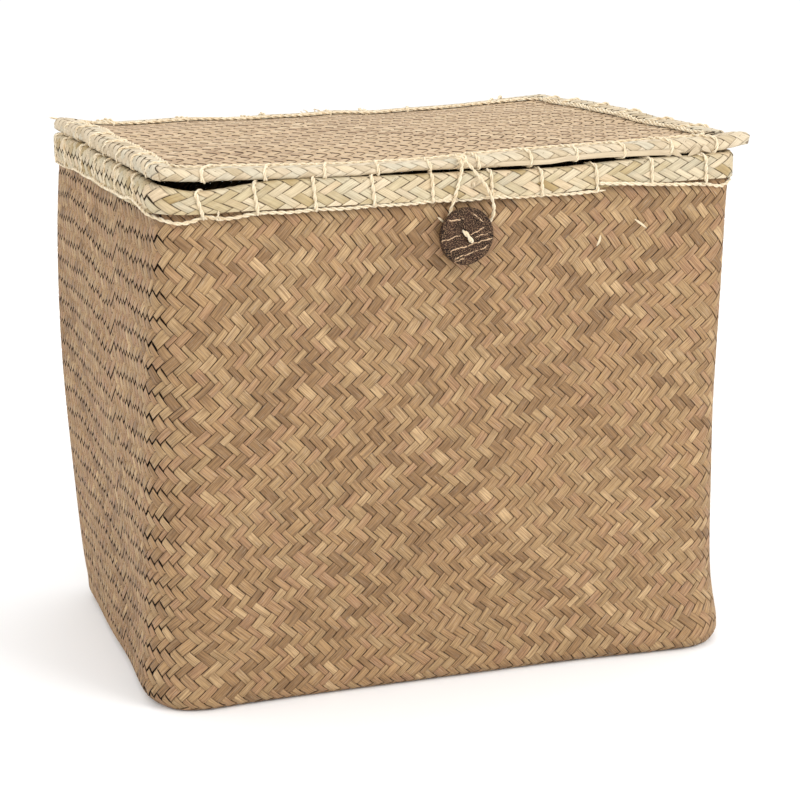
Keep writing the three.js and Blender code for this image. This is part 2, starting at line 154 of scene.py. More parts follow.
class Shader:
    """One material's node tree, with a Principled surface."""

    def __init__(self, name: str) -> None:
        """Makes an empty material.

        Args:
            name: The material's name.
        """
        self.material = bpy.data.materials.new(name)
        self.material.use_nodes = True
        self.nodes = self.material.node_tree.nodes
        self.links = self.material.node_tree.links
        self.nodes.clear()
        self.surface = self.add("ShaderNodeBsdfPrincipled", {}, {})
        self.add("ShaderNodeOutputMaterial", {}, {"Surface": self.surface.outputs[0]})

    def add(self, kind: str, settings: dict, sockets: dict) -> bpy.types.Node:
        """Adds a node.

        Args:
            kind: The node's type.
            settings: Its settings by name, or a ramp's stops under "stops".
            sockets: Values or links of its inputs, by name or number.

        Returns:
            The node.
        """
        node = self.nodes.new(kind)
        for key, value in settings.items():
            if key == "stops":
                self._set_stops(node.color_ramp.elements, value)
            else:
                setattr(node, key, value)
        for key, value in sockets.items():
            self.feed(node.inputs[key], value)
        return node

    @staticmethod
    def _set_stops(elements: bpy.types.ColorRampElements, stops: list) -> None:
        """Gives a colour ramp its stops.

        Args:
            elements: The ramp's elements.
            stops: Pairs of place and colour.
        """
        while len(elements) < len(stops):
            elements.new(1)
        for element, (place, colour) in zip(elements, stops):
            element.position = place
            element.color = (*colour, 1)

    def feed(self, target: Socket, value: object) -> None:
        """Links or sets one input.

        Args:
            target: The input socket.
            value: A Scalar, an output socket, a number or a colour.
        """
        if isinstance(value, Scalar):
            value = value.socket
        if isinstance(value, Socket):
            self.links.new(value, target)
        elif isinstance(value, tuple) and target.type == "RGBA":
            target.default_value = (*value, 1)
        else:
            target.default_value = value

    def math(self, operation: str, *values: "Scalar | float") -> Scalar:
        """The result of a Math node with this operation and these inputs."""
        node = self.add("ShaderNodeMath", {"operation": operation}, dict(enumerate(values)))
        return Scalar(self, node.outputs[0])

    def split(self, vector: Socket) -> list:
        """The three parts of a vector, as Scalars."""
        node = self.add("ShaderNodeSeparateXYZ", {}, {0: vector})
        return [Scalar(self, output) for output in node.outputs]

    def joined(self, x: "Scalar | float", y: "Scalar | float", z: "Scalar | float") -> Socket:
        """A vector from three numbers."""
        return self.add("ShaderNodeCombineXYZ", {}, {0: x, 1: y, 2: z}).outputs[0]

    def attribute(self, name: str) -> bpy.types.Node:
        """The node that reads a named attribute of the mesh."""
        return self.add("ShaderNodeAttribute", {"attribute_name": name}, {})

    def object_place(self) -> Socket:
        """The place on the object."""
        return self.add("ShaderNodeTexCoord", {}, {}).outputs["Object"]

    def noise(self, place: Socket, scale: float, detail: float = 2) -> Scalar:
        """Soft noise around one half, at a place, with a fineness and a number of finer layers."""
        sockets = {"Vector": place, "Scale": scale, "Detail": detail}
        return Scalar(self, self.add("ShaderNodeTexNoise", {}, sockets).outputs["Fac"])

    def streaks(self, values: tuple, scales: tuple, detail: float = 2) -> Scalar:
        """Noise over two or three numbers, each of them with its own fineness."""
        parts = [value * scale for value, scale in zip(values, scales)]
        return self.noise(self.joined(*parts, *[0.0] * (3 - len(parts))), 1.0, detail)

    def ramp(self, value: Scalar, stops: list) -> Socket:
        """A colour from a ramp at a value."""
        return self.add("ShaderNodeValToRGB", {"stops": stops}, {0: value}).outputs["Color"]

    def mix(self, amount: "Scalar | float", first: object, second: object, way: str = "MIX") -> object:
        """Two colours mixed in a way, with the second colour's share."""
        settings = {"data_type": "RGBA", "blend_type": way}
        return self.add("ShaderNodeMix", settings, {"Factor": amount, 6: first, 7: second}).outputs[2]

    def dress(self, **sockets: object) -> None:
        """Sets inputs of the surface, spaces in their names written as underscores."""
        for name, value in sockets.items():
            self.feed(self.surface.inputs[name.replace("_", " ")], value)

    def bump(self, height: Scalar, strength: float, distance: float) -> None:
        """Bumps the surface by a height, with the bump's share and its metres at a height of 1."""
        sockets = {"Height": height, "Strength": strength, "Distance": distance}
        self.dress(Normal=self.add("ShaderNodeBump", {}, sockets).outputs[0])


def linear(red: int, green: int, blue: int) -> tuple:
    """A colour as a shader takes it, from its values of 0 to 255."""
    shares = (channel / 255 for channel in (red, green, blue))
    return tuple(v / 12.92 if v <= 0.04045 else ((v + 0.055) / 1.055) ** 2.4 for v in shares)


@dataclass(frozen=True)
class LeafFinish:
    """Dry plaited leaf: a tone per strip, fibres along it, painted highlight streaks, painted shade at edges
    and dips.
    """

    name: str
    tones: tuple
    fibre: float = 0.35
    blotch: float = 0.25
    # The share of painted shade along each strip's long edges.
    edge: float = 0.55
    roughness: float = 0.62
    roughness_spread: float = 0.28
    specular: float = 0.35
    # depth and dark: the share and colour of painted shade where a strip dips under the crossing strips.
    depth: float = 0.9
    dark: tuple = (52, 32, 18)
    line_tint: tuple = (120, 88, 56)
    # A painted highlight colour, screened over fine streaks along the fibres.
    shine_tint: tuple = (255, 240, 215)
    # The colour of the painted shade along the strips' edges.
    edge_shade_tint: tuple = (96, 66, 38)
    drift_scales: tuple = (52, 83)
    fibre_scales: tuple = (45, 5.5, 61)
    fine_scales: tuple = (110, 12, 47)
    fibre_share: float = 0.6
    shine_share: float = 0.35
    bump_strength: float = 0.7
    bump_height: float = 0.25 * MM

    def material(self) -> Material:
        """Builds the material.

        Returns:
            The material, which reads the attributes "strip" and "sink" and paints shade where "sink" is high.
        """
        shader = Shader(self.name)
        along, across, tone = shader.split(shader.attribute("strip").outputs["Vector"])
        sink = Scalar(shader, shader.attribute("sink").outputs["Fac"])
        drift = shader.streaks((along, tone), self.drift_scales, 3)
        stops = [(i / (len(self.tones) - 1), linear(*t)) for i, t in enumerate(self.tones)]
        colour = shader.ramp(tone + (drift - 0.5) * self.blotch, stops)
        fibres = shader.streaks((along, across, tone), self.fibre_scales, 4)
        fine = shader.streaks((along, across, tone), self.fine_scales, 3)
        grain = fibres * self.fibre_share + fine * (1 - self.fibre_share)
        # Fibre lines, painted highlight streaks, painted shade along the edges and painted shade where a
        # strip dips under others.
        layers = (
            (grain.step(0.40, 0.62) * self.fibre, self.line_tint, "MULTIPLY"),
            (fine.step(0.55, 0.75) * (self.shine_share * self.fibre), self.shine_tint, "SCREEN"),
            (abs(across).step(0.82, 1.0) * self.edge, self.edge_shade_tint, "MULTIPLY"),
            (sink.step(0.5, 1.05) * self.depth, self.dark, "MULTIPLY"))
        for amount, tint, way in layers:
            colour = shader.mix(amount, colour, linear(*tint), way)
        roughness = self.roughness + (grain - 0.5) * self.roughness_spread
        shader.dress(Base_Color=colour, Roughness=roughness, Specular_IOR_Level=self.specular)
        shader.bump(grain, self.bump_strength, self.bump_height)
        return shader.material


@dataclass(frozen=True)
class TwineFinish:
    """Off-white twisted fibre twine."""

    name: str
    light: tuple = (250, 240, 216)
    dark: tuple = (214, 190, 150)
    patch_tint: tuple = (226, 200, 158)
    fibre_scales: tuple = (160, 3.5, 31)
    patch_scales: tuple = (22, 17)
    roughness: float = 0.82
    sheen: float = 0.15
    bump_height: float = 0.25 * MM

    def material(self) -> Material:
        """Builds the material.

        Returns:
            The material, which reads the attribute "strip".
        """
        shader = Shader(self.name)
        along, around, tone = shader.split(shader.attribute("strip").outputs["Vector"])
        fibres = shader.streaks((along, around, tone), self.fibre_scales, 4)
        patches = shader.streaks((along, tone), self.patch_scales)
        colour = shader.mix(fibres.step(0.35, 0.7), linear(*self.dark), linear(*self.light))
        colour = shader.mix(patches.step(0.45, 0.75) * 0.35, colour, linear(*self.patch_tint), "MULTIPLY")
        shader.dress(Base_Color=colour, Roughness=self.roughness, Sheen_Weight=self.sheen)
        shader.bump(fibres, 0.8, self.bump_height)
        return shader.material


@dataclass(frozen=True)
class CoconutFinish:
    """Ground coconut shell: nearly black with fine tan speckles and long pale scratches.

    A scratch is the X and Z of its two ends, in millimetres from the disc's middle.
    """

    name: str
    middle_x: float
    middle_z: float
    scratches: tuple = (
        (-14.5, 11.4, -3, 12.4), (-19, -2.4, -5.5, 1.2), (-12.6, -9.6, 5, -5.4),
        (3, -5.2, 18.6, -2.2), (-9.8, -15.2, 14.8, -8), (1.5, 1, 12, 5), (6, -0.6, 17, 2),
        (-11, -18, -2.5, -15.4), (4, 15.5, 12, 9.5))
    half_width: float = 0.24 * MM
    fade: float = 1 * MM
    wander: float = 3 * MM
    shell: tuple = ((20, 11, 8), (50, 33, 26))
    speckle_tint: tuple = (146, 116, 88)
    scratch_tint: tuple = (204, 172, 138)
    specular: float = 0.12
    bump_height: float = 0.25 * MM

    def material(self) -> Material:
        """Builds the material.

        Returns:
            The material.
        """
        shader = Shader(self.name)
        place = shader.object_place()
        x, _, z = shader.split(place)
        x, z = x - self.middle_x, z - self.middle_z
        wander = (shader.noise(place, 220, 1) - 0.5) * self.wander
        speckle = shader.noise(place, 1500, 3)
        lines = x * 0
        for scratch in self.scratches:
            start_x, start_z, end_x, end_z = (value * MM for value in scratch)
            off = abs(z - start_z - (x - start_x) * ((end_z - start_z) / (end_x - start_x)) + wander)
            line = 1 - off.step(self.half_width, 2.2 * self.half_width)
            begun, ended = (x.step(end - self.fade, end + self.fade) for end in (start_x, end_x))
            lines = shader.math("MAXIMUM", lines, line * (begun * (1 - ended)))
        lines = lines * shader.noise(place, 700, 2).step(0.36, 0.5)
        mottle = shader.noise(place, 160, 2).step(0.35, 0.7)
        colour = shader.mix(mottle, *(linear(*tone) for tone in self.shell))
        colour = shader.mix(speckle.step(0.53, 0.6) * 0.75, colour, linear(*self.speckle_tint))
        colour = shader.mix(lines * 0.9, colour, linear(*self.scratch_tint))
        shader.dress(Base_Color=colour, Roughness=0.55 + speckle * 0.25, Specular_IOR_Level=self.specular)
        shader.bump(speckle * 0.6 - lines * 0.4, 0.6, self.bump_height)
        return shader.material


@dataclass(frozen=True)
class CaneFinish:
    """Split cane with fine lengthwise lines."""

    name: str
    tones: tuple = ((190, 152, 100), (214, 184, 134))
    line_scales: tuple = (12, 12, 1400)
    bump_height: float = 0.15 * MM

    def material(self) -> Material:
        """Builds the material.

        Returns:
            The material.
        """
        shader = Shader(self.name)
        lines = shader.streaks(tuple(shader.split(shader.object_place())), self.line_scales)
        colour = shader.mix(lines.step(0.35, 0.65), *(linear(*tone) for tone in self.tones))
        shader.dress(Base_Color=colour, Roughness=0.5 + lines * 0.15)
        shader.bump(lines, 0.5, self.bump_height)
        return shader.material


@dataclass(frozen=True)
class PaleFloorFinish:
    """A matt white studio floor."""

    name: str
    shade: float = 0.93
    spread: float = 0.01
    specular: float = 0.1

    def material(self) -> Material:
        """Builds the material.

        Returns:
            The material.
        """
        shader = Shader(self.name)
        low, high = (self.shade - self.spread,) * 3, (self.shade + self.spread,) * 3
        colour = shader.mix(shader.noise(shader.object_place(), 0.6), low, high)
        shader.dress(Base_Color=colour, Roughness=0.9, Specular_IOR_Level=self.specular)
        return shader.material


# Meshes


def link(name: str, data: bpy.types.ID) -> Object:
    """Adds an object to the scene.

    Args:
        name: Its name.
        data: Its mesh, light or camera.

    Returns:
        The object.
    """
    made = bpy.data.objects.new(name, data)
    bpy.context.scene.collection.objects.link(made)
    return made


def dress(piece: Object, material: Material, node: str = "", body: str = "") -> None:
    """Gives a piece its finish and its place in the part.

    Args:
        piece: The piece.
        material: Its material.
        node: The node that it replaces, if any.
        body: The body that it rides, unless it is blended.
    """
    piece.data.materials.append(material)
    if body:
        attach(piece, body)
    if node:
        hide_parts(node)


@dataclass
class Sweep:
    """Rings of points along one strand, with what its finish needs to know."""

    rings: Array
    along: Array
    across: Array
    tone: float
    # How far each point dips under crossing strips, which the leaf finish turns into painted shade.
    sink: float | Array = 0.0
    closed: bool = False


def mesh_from_sweeps(name: str, sweeps: list) -> Object:
    """Makes one object from closed strands.

    Args:
        name: The object's name.
        sweeps: Its strands, all with the same number of points in a ring.

    Returns:
        The object, smooth, with the attributes "strip" and "sink", which sets painted shade, and a map for
        baking.
    """
    size = sweeps[0].rings.shape[1]
    points, strip, sink, quads, quad_maps, caps, cap_maps = [], [], [], [], [], [], []
    start = 0
    for row, sweep in enumerate(sweeps):
        count = len(sweep.rings)
        points.append(sweep.rings.reshape(-1, 3))
        grid = np.broadcast_arrays(sweep.along[:, None], sweep.across, sweep.tone)
        strip.append(np.stack(grid, -1).reshape(-1, 3))
        sink.append(np.broadcast_to(sweep.sink, (count, size)).reshape(-1))
        steps = count if sweep.closed else count - 1
        i, k = np.indices((steps, size))
        here, after = i * size, ((i + 1) % count) * size
        turn = (k + 1) % size
        corners = (here + k, here + turn, after + turn, after + k)
        quads.append(np.stack(corners, -1).reshape(-1, 4) + start)
        u0, u1 = i / steps, (i + 1) / steps
        v0, v1 = ((row + (k + margin) / size) / len(sweeps) for margin in (0.04, 0.96))
        quad_maps.append(np.stack([u0, v0, u0, v1, u1, v1, u1, v0], -1).reshape(-1, 2))
        if not sweep.closed:
            ring = np.arange(size)
            caps += [ring[::-1] + start, ring + start + (count - 1) * size]
            angles = ring * TWO_PI / size
            disc = np.stack([np.cos(angles), np.sin(angles)], -1) * 0.2 / len(sweeps) / size
            cap_maps += [disc + (0.5, (row + 0.5) / len(sweeps))] * 2
        start += count * size
    quads = np.concatenate(quads)
    loops = quads.reshape(-1)
    loops = np.concatenate([loops, *caps])
    maps = np.concatenate(quad_maps + cap_maps)
    sizes = np.repeat([4, size], [len(quads), len(caps)])
    mesh = bpy.data.meshes.new(name)
    mesh.vertices.add(start)
    mesh.vertices.foreach_set("co", np.concatenate(points).astype(np.float32).ravel())
    mesh.loops.add(len(loops))
    mesh.loops.foreach_set("vertex_index", loops.astype(np.int32))
    mesh.polygons.add(len(sizes))
    mesh.polygons.foreach_set("loop_start", (np.cumsum(sizes) - sizes).astype(np.int32))
    mesh.polygons.foreach_set("use_smooth", np.ones(len(sizes), bool))
    mesh.update(calc_edges=True)
    kept = (("strip", "FLOAT_VECTOR", "vector", strip), ("sink", "FLOAT", "value", sink))
    for attribute, kind, field_name, values in kept:
        target = mesh.attributes.new(attribute, kind, "POINT").data
        target.foreach_set(field_name, np.concatenate(values).astype(np.float32).ravel())
    layer = mesh.uv_layers.new(name="OFBake", do_init=False)
    layer.uv.foreach_set("vector", maps.astype(np.float32).ravel())
    return link(name, mesh)


def capped_rings(name: str, rings: list) -> Object:
    """Makes a closed object from rings of points, one after another.

    Args:
        name: The object's name.
        rings: The rings, all with the same number of points.

    Returns:
        The object.
    """
    sides = len(rings[0])
    faces = []
    for start in range(0, (len(rings) - 1) * sides, sides):
        for i in range(sides):
            after = (i + 1) % sides
            faces.append((start + i, start + after, start + sides + after, start + sides + i))
    faces.append(tuple(reversed(range(sides))))
    faces.append(tuple(range((len(rings) - 1) * sides, len(rings) * sides)))
    mesh = bpy.data.meshes.new(name)
    mesh.from_pydata([point for ring in rings for point in ring], [], faces)
    return link(name, mesh)


def trefoil(middle: tuple, wide: float, deep: float, high: float) -> list:
    """Points of a small knot, from its middle and its sizes along X, Y and Z."""
    x, y, z = middle
    return [(x + (math.sin(a) + 2 * math.sin(2 * a)) * wide, y + math.sin(3 * a) * deep,
             z + (math.cos(a) - 2 * math.cos(2 * a)) * high)
            for a in np.linspace(0, TWO_PI, 14, endpoint=False)]


def waves(table: tuple, turn: Array, height: Array | float = 0) -> Array:
    """A sum of waves round the box, from each wave's size, count, lean with the height and phase."""
    return sum(size * np.sin(count * turn + lean * height + phase) for size, count, lean, phase in table)


def two_ended(start: tuple, end: tuple, y: Array, count: int) -> Array:
    """Points from one end in X and Z to another in millimetres, at this Y in metres."""
    x, z = np.linspace(start, end, count).T * MM
    return np.stack([x, y + 0 * x, z], -1)


def running_length(path: Array) -> Array:
    """How far along a path each of its points is."""
    return np.concatenate([[0], np.cumsum(np.linalg.norm(np.diff(path, axis=0), axis=1))])


def smooth_path(points: list, step: float, closed: bool = False) -> Array:
    """A smooth path through points, at even steps.

    Args:
        points: The points that it passes.
        step: The length of a step.
        closed: Whether it returns to its start.

    Returns:
        The path's points.
    """
    knots = np.array(points, float)
    count = len(knots)
    fine = []
    for i in range(count if closed else count - 1):
        near = range(i - 1, i + 3)
        a, b, c, d = (knots[j % count if closed else min(max(j, 0), count - 1)] for j in near)
        t = np.linspace(0, 1, 16, endpoint=False)[:, None]
        curve = 2 * b + (c - a) * t + (2 * a - 5 * b + 4 * c - d) * t**2 + (3 * b - a - 3 * c + d) * t**3
        fine.append(curve / 2)
    fine.append(knots[:1] if closed else knots[-1:])
    path = np.concatenate(fine)
    length = running_length(path)
    steps = max(int(round(length[-1] / step)), 6)
    marks = np.linspace(0, length[-1], steps + 1)[: steps if closed else steps + 1]
    return np.stack([np.interp(marks, length, path[:, axis]) for axis in range(3)], -1)


def path_frames(path: Array, closed: bool) -> tuple:
    """Directions across a path that turn as little as they can.

    Args:
        path: The path's points.
        closed: Whether it returns to its start.

    Returns:
        Two unit vectors across the path at each point.
    """
    tangents = np.roll(path, -1, 0) - np.roll(path, 1, 0) if closed else np.gradient(path, axis=0)
    tangents /= np.linalg.norm(tangents, axis=1)[:, None]
    side = np.cross(tangents[0], (0.31, 0.22, 0.93))
    sides = np.empty_like(path)
    for i, tangent in enumerate(tangents):
        side = side - tangent * side.dot(tangent)
        side = side / np.linalg.norm(side)
        sides[i] = side
    ups = np.cross(tangents, sides)
    if closed:
        end = side - tangents[0] * side.dot(tangents[0])
        slip = math.atan2(end.dot(ups[0]), end.dot(sides[0]))
        angle = -slip * np.arange(len(path))[:, None] / len(path)
        sides, ups = sides * np.cos(angle) + ups * np.sin(angle), ups * np.cos(angle) - sides * np.sin(angle)
    return sides, ups


@dataclass(frozen=True)
class Twine:
    """Two-ply twine, laid along a path. A ply's place and girth are shares of the twine's radius."""

    radius: float = 1.35 * MM
    pitch: float = 12 * MM
    step: float = 1.3 * MM
    sides: int = 6
    ply_share: float = 0.47
    girth_share: float = 0.62
    unevenness: float = 0.08
    unevenness_rate: float = 310
    least_taper: float = 0.25

    def plies(self, points: list, closed: bool, seed: float, taper: float = 0) -> list:
        """The two plies round a path.

        Args:
            points: The points that the path passes.
            closed: Whether it returns to its start.
            seed: A number that sets where the twist starts and the tone.
            taper: The length over which the twine's far end thins out.

        Returns:
            The sweeps.
        """
        path = smooth_path(points, self.step, closed)
        sides, ups = path_frames(path, closed)
        length = self.step * np.arange(len(path))
        turns = length / self.pitch
        if closed:
            turns *= max(round(turns[-1]), 1) / max(turns[-1] * len(path) / (len(path) - 1), 1e-9)
        swell = 1 + self.unevenness * np.sin(length * self.unevenness_rate + seed * 5)
        if taper:
            swell = swell * np.clip((length[-1] - length) / taper, self.least_taper, 1)
        around = np.arange(self.sides) * TWO_PI / self.sides
        made = []
        for ply in range(2):
            angle = (turns + ply / 2 + seed) * TWO_PI
            out = sides * np.cos(angle)[:, None] + ups * np.sin(angle)[:, None]
            turned = ups * np.cos(angle)[:, None] - sides * np.sin(angle)[:, None]
            middle = path + out * (self.ply_share * self.radius * swell)[:, None]
            girth = (self.girth_share * self.radius * swell)[:, None, None]
            ring = out[:, None] * np.cos(around)[:, None] + turned[:, None] * np.sin(around)[:, None]
            tone = (seed * 0.37 + ply * 0.21) % 1
            made.append(Sweep(middle[:, None] + girth * ring, length, around, tone, closed=closed))
        return made


# The plait


@dataclass(frozen=True)
class Strip:
    """The section of a flat leaf strip in a plait."""

    thickness: float
    lift: float
    cuts: int = 1
    left_relief: float = 2.2
    # More painted shade on walls that face left.
    left_shade: float = 0.7
    # The painted shade given to the section's edge points.
    edge_shade: float = 0.84
    float_shares: Array = field(default_factory=lambda: np.array([0.24, 0.76]))
    outline: tuple = ((-1, 0), (-0.84, 0.5), (0.84, 0.5), (1, 0), (0.84, -0.5), (-0.84, -0.5))

    @property
    def across(self) -> Array:
        """How far across the strip each point of the section is, from -1 to 1."""
        return np.array([point[0] for point in self.outline])

    @property
    def up(self) -> Array:
        """How far above the strip's middle each point of the section is, in metres."""
        return np.array([point[1] for point in self.outline]) * self.thickness


@dataclass
class Lane:
    """One strip's way through the plait's chart, before it is laid on a surface."""

    x: Array
    y: Array
    side: Array
    level: Array
    along: Array
    tone: float
    relief: float = 1.0


def make_lane(family: Family, middle: float, half: float, edges: Array, over: Array, sides: Array,
              limits: object, strip: Strip, fill: float, pitch: float, tone: float) -> Lane:
    """One strip's way through the chart.

    Args:
        family: Which way the strip runs.
        middle: The strip's own diagonal coordinate.
        half: Half its room, in the same unit.
        edges: Where the crossing strips' rooms begin and end.
        over: 1 or -1 for each crossing.
        sides: The side of the box for each crossing.
        limits: A function from the diagonal coordinate to the lowest and highest crossing coordinate.
        strip: The strip's section.
        fill: How much of its room the strip fills.
        pitch: The length of the chart's unit, in metres.
        tone: The strip's tone.

    Returns:
        The lane.
    """
    widths = np.diff(edges)
    shares = strip.float_shares
    nodes = (edges[:-1, None] + widths[:, None] * shares[None, :]).reshape(-1)
    level = np.repeat(over.astype(float), len(shares))
    side = np.repeat(sides, len(shares))
    if strip.cuts > 1:
        steps = np.arange((len(nodes) - 1) * strip.cuts + 1) / strip.cuts
        whole = np.minimum(steps.astype(int), len(nodes) - 2)
        part = steps - whole
        nodes = nodes[whole] * (1 - part) + nodes[whole + 1] * part
        eased = part * part * (3 - 2 * part)
        level = level[whole] * (1 - eased) + level[whole + 1] * eased
        side = side[whole]
    own = middle + half * fill * strip.across[None, :] + 0 * nodes[:, None]
    low, high = limits(own)
    other = np.clip(nodes[:, None], low, high)
    x = (own + other) / 2
    y = (own - other) / 2 if family is Family.FALLING else (other - own) / 2
    return Lane(x, y, side, level, (nodes - nodes[0]) * pitch / math.sqrt(2), tone)


def lay_lanes(lanes: list, place: object, strip: Strip, flip: float = -1) -> list:
    """Lays strips on a surface.

    Args:
        lanes: Their ways through the chart.
        place: The function from the chart's x, y and side to points.
        strip: The strips' section.
        flip: -1 where the surface's outer side is against x cross y.

    Returns:
        The sweeps.
    """
    x = np.concatenate([lane.x for lane in lanes])
    y = np.concatenate([lane.y for lane in lanes])
    side = np.concatenate([lane.side for lane in lanes])[:, None] + np.zeros_like(x, int)
    level = np.concatenate([lane.level * lane.relief for lane in lanes])
    reach = CHART_REACH
    points = place(x, y, side)
    across_x = place(x + reach, y, side) - place(x - reach, y, side)
    across_y = place(x, y + reach, side) - place(x, y - reach, side)
    normal = flip * np.cross(across_x, across_y)
    normal /= np.maximum(np.linalg.norm(normal, axis=-1), 1e-12)[..., None]
    facing_left = np.clip(-normal[..., 0], 0, 1) ** 3
    relief = strip.lift * (1 + strip.left_relief * facing_left)
    height = level[:, None] * relief + strip.up[None, :]
    rings = points + normal * height[..., None]
    outer = np.sign(strip.up)[None, :]
    made, start = [], 0
    for lane in lanes:
        count = len(lane.level)
        # The mask of painted shade: how far each point dips under the crossing strips, with a fixed share at
        # the strip's edges.
        sink = np.where(outer == 0, strip.edge_shade, (1 - lane.level[:, None] * outer) / 2)
        # Walls that face left, and strips with more relief, get more painted shade.
        sink = sink * (1 + strip.left_shade * facing_left[start:start + count]) * lane.relief
        part, across = rings[start:start + count], strip.across
        turned = np.cross(part[1:, 3] - part[1:, 0], part[1:, 0] - part[:-1, 0])
        if (turned * normal[start + 1:start + count, 0]).sum() < 0:
            part, across, sink = part[:, ::-1], across[::-1], sink[:, ::-1]
        made.append(Sweep(part, lane.along, across, lane.tone, sink))
        start += count
    return made


def leaf_bit(points: list, halves: list, normal: tuple, thickness: float, tone: float) -> Sweep:
    """A loose bit of leaf.

    Args:
        points: The points along its middle.
        halves: Half its width at each point.
        normal: The way that its upper face looks.
        thickness: Its thickness.
        tone: Its tone.

    Returns:
        The sweep.
    """
    path = np.array(points, float)
    shape = Strip(thickness, 0)
    along = np.gradient(path, axis=0)
    across = np.cross(along, normal)
    across /= np.linalg.norm(across, axis=1)[:, None]
    sides = across[:, None] * np.array(halves)[:, None, None] * shape.across[None, :, None]
    rings = path[:, None] + sides + np.array(normal) * shape.up[None, :, None]
    return Sweep(rings, running_length(path), shape.across, tone)


def wander(count: int, fixed: tuple, spread: float, random: np.random.Generator, first: int = 0) -> Array:
    """How far the edges between neighbouring strips stray from an even spacing.

    Args:
        count: The number of edges.
        fixed: The edges that stay in place, by their own numbers.
        spread: The most that an edge strays, as a share of a strip.
        random: The source of chance.
        first: The first edge's number.

    Returns:
        The strays.
    """
    strays = random.uniform(-spread, spread, count)
    strays[np.array(fixed) - first] = 0
    return strays


@dataclass(frozen=True)
class BoxSizes:
    """Sizes that the box's pieces share, in metres."""

    width: float
    depth: float
    rim_height: float
    band_bottom: float
    lid_half_x: float
    lid_half_y: float
    lid_bottom: float
    lid_top: float

    @classmethod
    def from_frame(cls) -> "BoxSizes":
        """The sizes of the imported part.

        Returns:
            The sizes.
        """
        band_low, band_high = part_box("rim_band")
        lid_low, lid_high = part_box("lid_border_back")
        left_low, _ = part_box("lid_border_left")
        return cls(band_high[0] - band_low[0], band_high[1] - band_low[1], band_high[2], band_low[2],
                   -left_low[0], lid_high[1], lid_low[2], lid_high[2])


SIZES = BoxSizes.from_frame()


def outline_point(side: Array, share: Array, reach_x: list, reach_y: list, radii: list) -> tuple:
    """A place on a four-cornered outline with round corners.

    Args:
        side: The side's number, whose corner of the same number comes first.
        share: How far along the side, from the middle of one corner to that of the next.
        reach_x: For each corner, how far it is from the middle in X.
        reach_y: The same in Y.
        radii: Each corner's radius.

    Returns:
        X and Y.
    """
    ends = []
    for corner in (side, (side + 1) % 4):
        radius = np.choose(corner, radii)
        x = CORNER_X[corner] * (np.choose(corner, reach_x) - radius)
        y = CORNER_Y[corner] * (np.choose(corner, reach_y) - radius)
        ends.append((x + 1j * y, radius, CORNER_START[corner]))
    (a, a_radius, a_start), (b, b_radius, b_start) = ends
    eighth = math.pi / 4
    a_arc, b_arc = a_radius * eighth, b_radius * eighth
    start = a + a_radius * np.exp(1j * (a_start + 2 * eighth))
    way = b + b_radius * np.exp(1j * b_start) - start
    straight = np.abs(way)
    run = share * (straight + a_arc + b_arc)
    on_a = a + a_radius * np.exp(1j * (a_start + eighth + run / a_radius))
    on_b = b + b_radius * np.exp(1j * (b_start + (run - a_arc - straight) / b_radius))
    spot = np.where(run > a_arc + straight, on_b, start + (run - a_arc) / straight * way)
    spot = np.where(run < a_arc, on_a, spot)
    return spot.real, spot.imag


@dataclass(frozen=True)
class WallEnd:
    """How the strips of a family that leave the base at one side run on up its wall.

    A strip ends at sign * its own coordinate + room. The edges that it crosses there stray by turn times the
    wall's stray number start + turn * their own number.
    """

    sign: int
    room: int
    nudge: int
    strays: Array
    turn: int
    start: int = 0

    def fold(self, own: int) -> int:
        """The last crossing on the base."""
        return self.sign * own + self.room + self.nudge

    def stray(self, number: Array) -> Array:
        """How far crossed edges stray on the wall."""
        return self.turn * self.strays[(self.start + self.turn * number) % len(self.strays)]


